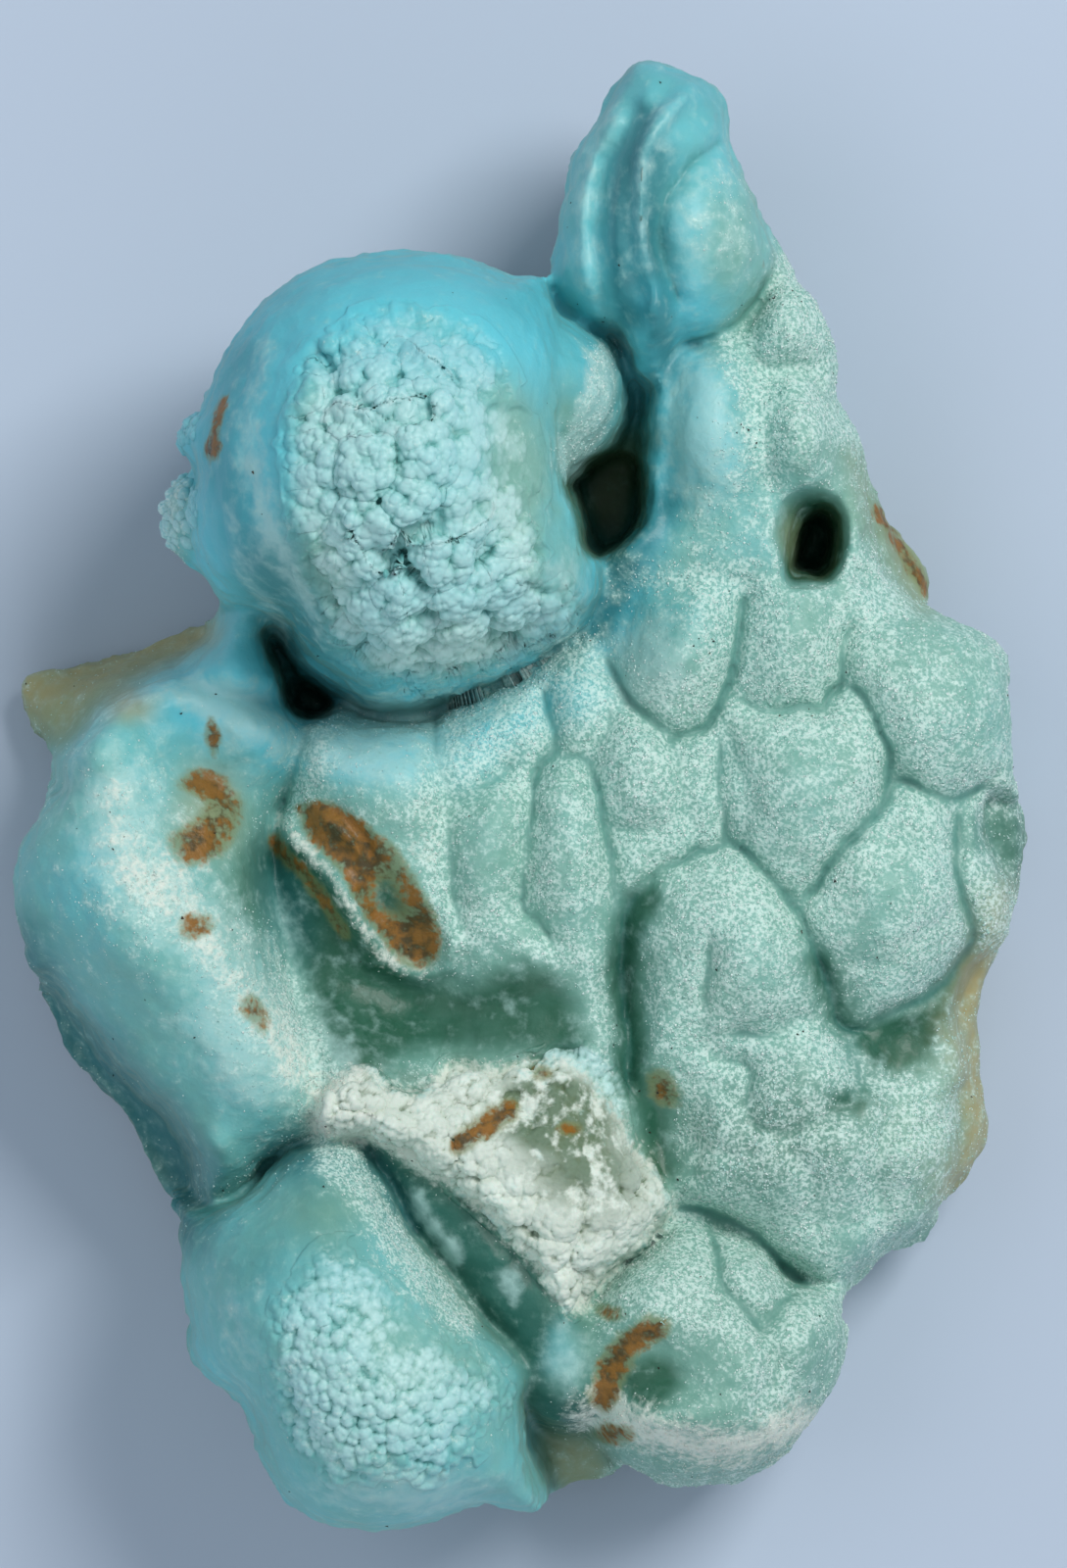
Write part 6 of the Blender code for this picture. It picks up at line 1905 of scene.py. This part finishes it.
class Value:
    """A shader socket that takes part in arithmetic."""

    def __init__(self, finish: "Nodes", socket: bpy.types.NodeSocket) -> None:
        """Wrap an output socket of a finish's node tree."""
        self.finish = finish
        self.socket = socket

    def _math(self, operation: str, first: Any, second: Any) -> "Value":
        """Add a Math node that joins two values, and give its result."""
        return self.finish.add("ShaderNodeMath", {"operation": operation}, {0: first, 1: second})

    def __add__(self, other: Any) -> "Value":
        """Sum."""
        return self._math("ADD", self, other)

    __radd__ = __add__

    def __sub__(self, other: Any) -> "Value":
        """Difference."""
        return self._math("SUBTRACT", self, other)

    def __rsub__(self, other: Any) -> "Value":
        """Difference the other way round."""
        return self._math("SUBTRACT", other, self)

    def __mul__(self, other: Any) -> "Value":
        """Product."""
        return self._math("MULTIPLY", self, other)

    __rmul__ = __mul__

    def ramp(self, low: float, high: float) -> "Value":
        """Rise smoothly from 0 at low to 1 at high."""
        inputs = {"Value": self, "From Min": low, "From Max": high}
        return self.finish.add("ShaderNodeMapRange", {"interpolation_type": "SMOOTHSTEP"}, inputs)


class Nodes:
    """A material and the few calls that fill its node tree."""

    def __init__(self, name: str) -> None:
        """Start a material of this name with an empty tree."""
        self.material = bpy.data.materials.new(name)
        self.material.use_nodes = True
        self.tree = self.material.node_tree
        self.tree.nodes.clear()

    def node(self, kind: str, settings: dict[str, Any], inputs: dict[Any, Any]) -> bpy.types.Node:
        """Add a node.

        Args:
            kind: the node's type.
            settings: its properties, which are set first.
            inputs: values or links of its sockets, by name or number.

        Returns:
            The node.
        """
        made = self.tree.nodes.new(kind)
        for name, value in settings.items():
            setattr(made, name, value)
        for key, value in inputs.items():
            if isinstance(value, Value):
                self.tree.links.new(value.socket, made.inputs[key])
            else:
                made.inputs[key].default_value = value
        return made

    def add(self, kind: str, settings: dict[str, Any], inputs: dict[Any, Any], output: Any = 0) -> Value:
        """Add a node as above and take one of its outputs, by name or number."""
        return Value(self, self.node(kind, settings, inputs).outputs[output])

    def mask(self, mask: Mask) -> Value:
        """Read one of the skin's masks."""
        return self.add("ShaderNodeAttribute", {"attribute_name": mask.value}, {}, "Fac")

    def noise(self, size: float, detail: float = 3.0, roughness: float = 0.55) -> Value:
        """Read noise in the stone's own space.

        Args:
            size: its lumps' size in millimetres.
            detail: how many finer layers it has.
            roughness: how strong those are.

        Returns:
            Values about 0.5.
        """
        sizes = {"Vector": self.place, "Scale": 1 / (size * MM), "Detail": detail, "Roughness": roughness}
        return self.add("ShaderNodeTexNoise", {}, sizes, "Fac")

    @property
    def place(self) -> Value:
        """The place on the stone, in metres."""
        return self.add("ShaderNodeTexCoord", {}, {}, "Object")

    def surface(self, inputs: dict[str, Any]) -> bpy.types.Material:
        """End the tree with a surface shader.

        Args:
            inputs: values or links of the shader's sockets.

        Returns:
            The finished material.
        """
        shader = self.node("ShaderNodeBsdfPrincipled", {"subsurface_method": "RANDOM_WALK"}, inputs)
        output = self.node("ShaderNodeOutputMaterial", {}, {})
        self.tree.links.new(shader.outputs[0], output.inputs[0])
        return self.material

    def blend(self, share: Any, first: Any, second: Any) -> Value:
        """Mix two colours, with this share of the second."""
        settings = {"data_type": "RGBA", "clamp_factor": True}
        return self.add("ShaderNodeMix", settings, {0: share, 6: first, 7: second}, 2)


def srgb(red: int, green: int, blue: int) -> Colour:
    """Turn a screen colour into a shader colour.

    Args:
        red: from 0 to 255.
        green: from 0 to 255.
        blue: from 0 to 255.

    Returns:
        The colour with an alpha of 1.
    """
    scaled = (red / 255, green / 255, blue / 255)
    return (*(c / 12.92 if c <= 0.04045 else ((c + 0.055) / 1.055) ** 2.4 for c in scaled), 1.0)


@dataclass(frozen=True)
class StoneFinish:
    """The stone's look: waxy where smooth, frosted, chalky or stained by its masks, with painted shade in
    grooves, holes, creases and clefts, and painted light on the balls' tops and some shaded slopes.
    """

    mint: Colour = srgb(128, 180, 165)
    sky: Colour = srgb(102, 205, 218)
    # The darker teal of the painted shade.
    deep: Colour = srgb(40, 116, 124)
    # Dark green: the stone's own in its green patches, painted shade in valleys and holes.
    jade_and_shade: Colour = srgb(42, 96, 74)
    olive: Colour = srgb(146, 160, 120)
    tan: Colour = srgb(172, 160, 112)
    # The pale film's colour, also painted light on shaded slopes.
    pale_film_and_light: Colour = srgb(190, 226, 222)
    hoar: Colour = srgb(166, 208, 195)
    frost: Colour = srgb(230, 250, 242)
    pit: Colour = srgb(84, 140, 126)
    chalk: Colour = srgb(230, 238, 226)
    earth_and_cleft_shade: Colour = srgb(98, 118, 88)
    rust: Colour = srgb(144, 92, 4)
    rust_dark: Colour = srgb(74, 50, 3)
    halo: Colour = srgb(130, 132, 74)
    shade: Colour = srgb(44, 112, 104)
    # tip and tip_blue: the balls' whiter tops, partly their own white and partly painted light.
    tip: Colour = srgb(198, 234, 229)
    tip_blue: Colour = srgb(134, 206, 216)
    # The colour of the painted shade between the balls.
    cleft: Colour = srgb(78, 148, 146)
    glow: float = 0.25
    glow_reach: float = 1.0
    glow_spread: tuple[float, float, float] = (0.7, 1.0, 0.95)
    bump_strength: float = 0.4
    bump_height: float = 0.25
    sheen: float = 0.28

    def material(self) -> bpy.types.Material:
        """Make the material.

        Returns:
            The material.
        """
        n = Nodes("aragonite_stone")
        broad, patchy, small = n.noise(9.0), n.noise(2.6, 4.0), n.noise(1.1, 3.0)
        fine, finest = n.noise(0.6, 2.0), n.noise(0.34, 2.0, 0.6)
        blue = (n.mask(Mask.BLUE) + (broad - 0.5) * 0.5 + (patchy - 0.5) * 0.3).ramp(0.0, 1.0)
        colour = n.blend(blue, self.mint, self.sky)
        # Jade green: the stone's own in the hollow and patches, painted shade in valleys and holes.
        colour = n.blend(n.mask(Mask.JADE_AND_SHADE) * (0.75 + patchy * 0.5), colour, self.jade_and_shade)
        colour = n.blend(n.mask(Mask.OLIVE) * (0.6 + patchy * 0.6), colour, self.olive)
        colour = n.blend(n.mask(Mask.TAN) * (0.5 + patchy * 0.8), colour, self.tan)
        # Painted shade: darker teal over grooves, troughs and sides turned from the light.
        colour = n.blend(n.mask(Mask.TEAL_SHADE) * 0.8, colour, self.deep)
        colour = n.blend(n.mask(Mask.BROKEN) * (0.25 + patchy * 0.5), colour, self.olive)
        # Pale film, and painted light where the film mask lifts shaded slopes.
        veiled = (n.mask(Mask.FILM_AND_LIGHT) + (patchy - 0.5) * 1.3 + (small - 0.5) * 0.9).ramp(0.15, 1.0)
        colour = n.blend(veiled * 0.6, colour, self.pale_film_and_light)
        hoary = (n.mask(Mask.FROST) + (small - 0.5) * 1.5 + (patchy - 0.5) * 0.9).ramp(-0.05, 1.15)
        colour = n.blend(hoary * 0.5, colour, self.hoar)
        white_lit_tips, cleft_shade = n.mask(Mask.PUFF), n.mask(Mask.CLEFT_SHADE)
        tips = n.blend(blue, self.tip, self.tip_blue)
        # Whiter tips: partly the balls' own white, partly painted light on the tops.
        colour = n.blend((white_lit_tips + (fine - 0.5) * 0.3).ramp(0.15, 0.8) * 0.85, colour, tips)
        # Painted shade in the clefts between the balls.
        colour = n.blend(cleft_shade.ramp(0.35, 0.95) * 0.6, colour, self.cleft)
        crack = n.mask(Mask.CRACK)
        colour = n.blend(n.mask(Mask.DIP).ramp(0.3, 0.95) * 0.4, colour, self.shade)
        colour = n.blend(crack.ramp(0.05, 0.95) * (0.2 + patchy * 0.6), colour, self.shade)
        open_face = 1 - crack.ramp(0.1, 0.5)
        icy = hoary.ramp(0.05, 1.0) * open_face
        colour = n.blend((0.47 - finest).ramp(0.0, 0.15) * icy * 0.25, colour, self.pit)
        sparkle = (finest + hoary * 0.14).ramp(0.54, 0.74) * icy
        colour = n.blend(sparkle * 0.65, colour, self.frost)
        white = n.mask(Mask.CRUST)
        chalky = (white + (patchy - 0.5) * 1.1 + (fine - 0.5) * 1.4).ramp(0.2, 0.9) * white.ramp(0.0, 0.25)
        earthy = (broad * 0.3 + small * 0.7 + (patchy - 0.5) * 1.2).ramp(0.33, 0.58)
        earthy = earthy * n.mask(Mask.OLIVE).ramp(0.1, 0.9)
        # The crust's olive earth patches are its own; its clefts also darken toward the same colour as
        # painted shade.
        chalk = n.blend((earthy + cleft_shade.ramp(0.2, 0.8) * 0.7), self.chalk, self.earth_and_cleft_shade)
        colour = n.blend(chalky * 0.9, colour, chalk)
        stain = n.mask(Mask.STAIN)
        haloed = (stain + (small - 0.5) * 0.6).ramp(0.05, 0.5) * stain.ramp(0.0, 0.2)
        colour = n.blend(haloed * 0.6, colour, self.halo)
        stained = (stain + (patchy - 0.5) + (small - 0.5) * 1.1 + (fine - 0.5) * 1.3).ramp(0.3, 0.9)
        stained = stained * stain.ramp(0.0, 0.3)
        rust = n.blend((small + (patchy - 0.5) * 0.8).ramp(0.35, 0.65), self.rust_dark, self.rust)
        colour = n.blend(stained * 0.9, colour, rust)
        rough = 0.42 + hoary * 0.15 + chalky * 0.3
        bumps = finest * (0.15 + hoary * 0.7) + fine * (0.35 + chalky) + small * 0.5 + patchy * 0.6
        heights = {"Height": bumps, "Strength": self.bump_strength, "Distance": self.bump_height * MM}
        normal = n.add("ShaderNodeBump", {}, heights, "Normal")
        return n.surface({
            "Base Color": colour, "Roughness": rough, "Normal": normal,
            "Subsurface Weight": self.glow, "Subsurface Scale": self.glow_reach * MM,
            "Subsurface Radius": self.glow_spread, "Specular IOR Level": self.sheen, "IOR": REFRACTION,
        })


@dataclass(frozen=True)
class DruseFinish:
    """Tiny clear to white crystals over the stone's own tint."""

    mint: Colour = srgb(178, 220, 208)
    sky: Colour = srgb(160, 222, 226)
    white: Colour = srgb(236, 250, 245)
    chalk: Colour = srgb(228, 228, 216)
    sheen: float = 0.6

    def material(self) -> bpy.types.Material:
        """Make the material.

        Returns:
            The material.
        """
        n = Nodes("aragonite_druse")
        tone = n.add("ShaderNodeAttribute", {"attribute_name": "tone"}, {}, "Fac")
        colour = n.blend(n.mask(Mask.BLUE), self.mint, self.sky)
        colour = n.blend(tone.ramp(0.2, 1.0), colour, self.white)
        colour = n.blend(n.mask(Mask.CRUST), colour, self.chalk)
        cloud = n.noise(0.3, 2.0)
        return n.surface({
            "Base Color": colour, "Roughness": 0.22 + tone * 0.3 + cloud * 0.1,
            "Specular IOR Level": self.sheen, "IOR": REFRACTION,
        })


@dataclass(frozen=True)
class SpeckFinish:
    """Dull dark dirt."""

    dark: Colour = srgb(26, 30, 24)
    brown: Colour = srgb(66, 50, 30)

    def material(self) -> bpy.types.Material:
        """Make the material.

        Returns:
            The material.
        """
        n = Nodes("dark_specks")
        tone = n.add("ShaderNodeAttribute", {"attribute_name": "tone"}, {}, "Fac")
        grit = n.noise(0.1, 2.0)
        colour = n.blend(tone.ramp(0.6, 0.9), self.dark, self.brown)
        return n.surface({"Base Color": colour, "Roughness": 0.6 + grit * 0.3})


@dataclass
class Studio:
    """The pale floor, the soft lights and the camera above."""

    frame_height: float = 133.33
    aim: tuple[float, float] = (1.0, 1.04)
    face_level: float = 28.0
    distance: float = 1400.0
    sensor: float = 36.0
    floor_colour: Colour = srgb(188, 202, 220)
    floor_fleck: Colour = srgb(194, 206, 222)
    floor_half: float = 1500.0
    floor_drop: float = 0.2
    room_colour: Colour = srgb(214, 226, 240)
    room_strength: float = 0.35

    def build(self) -> None:
        """Set up everything around the stone."""
        self._floor()
        for lamp in LAMPS:
            self._light(lamp)
        self._world()
        self._camera()

    def _floor(self) -> None:
        """Lay a plain pale floor just under the stone."""
        place = (0, 0, -self.floor_drop * MM)
        bpy.ops.mesh.primitive_plane_add(size=2 * self.floor_half * MM, location=place)
        floor = bpy.context.object
        floor.name = "floor"
        n = Nodes("pale_floor")
        grain = n.noise(40.0, 2.0)
        colour = n.blend(grain * 0.2, self.floor_colour, self.floor_fleck)
        floor.data.materials.append(n.surface({"Base Color": colour, "Roughness": 0.8}))

    def _light(self, lamp: Lamp) -> None:
        """Hang a light that shines on the stone.

        Args:
            lamp: the light.
        """
        data = bpy.data.lights.new(lamp.name, "AREA")
        data.size = lamp.size * MM
        data.energy = lamp.power
        data.color = lamp.colour
        light = linked(lamp.name, data)
        light.location = Vector(lamp.place) * MM
        light.rotation_euler = (-light.location).to_track_quat("-Z", "Y").to_euler()

    def _world(self) -> None:
        """Fill the room with even pale light."""
        world = bpy.data.worlds.new("room")
        world.use_nodes = True
        background = world.node_tree.nodes["Background"]
        background.inputs["Color"].default_value = self.room_colour
        background.inputs["Strength"].default_value = self.room_strength
        bpy.context.scene.world = world
        bpy.context.scene.view_settings.view_transform = "Standard"

    def _camera(self) -> None:
        """Look straight down on the face."""
        data = bpy.data.cameras.new("camera")
        data.sensor_width = self.sensor
        data.lens = self.sensor * self.distance / self.frame_height
        data.clip_end = 10 * self.distance * MM
        camera = linked("camera", data)
        camera.location = Vector((*self.aim, self.face_level + self.distance)) * MM
        bpy.context.scene.camera = camera


def finish(piece: bpy.types.Object, material: bpy.types.Material) -> None:
    """Dress a piece, let it ride with the stone and report it.

    Args:
        piece: the piece.
        material: its material.
    """
    piece.data.materials.clear()
    piece.data.materials.append(material)
    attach(piece, BODY)
    log.info("%s: %d triangles", piece.name, sum(len(face.vertices) - 2 for face in piece.data.polygons))


def main() -> None:
    """Build the stone's looks and the studio, and report each piece."""
    logging.basicConfig(level=logging.INFO, format="%(name)s: %(message)s")
    relief = Relief()
    log.info("relief worked out")
    body = StoneSkin(relief)
    skin = body.build()
    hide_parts(NODE)
    stone, frost = StoneFinish().material(), DruseFinish().material()
    coating = Coating(relief, Surface.of(skin.data))
    finish(skin, stone)
    for coat in COATS:
        finish(Sheet(coat, relief, body).build(), stone)
    finish(coating.warts(), stone)
    for number, (low, high) in enumerate(DRUSE_BANDS):
        piece = coating.druse(f"druse_{number + 1}", DRUSE_TRIES, low, high, DRUSE_SEED + 3 * number)
        finish(piece, frost)
    finish(coating.specks(), SpeckFinish().material())
    Studio().build()


if __name__ == "__main__":
    main()
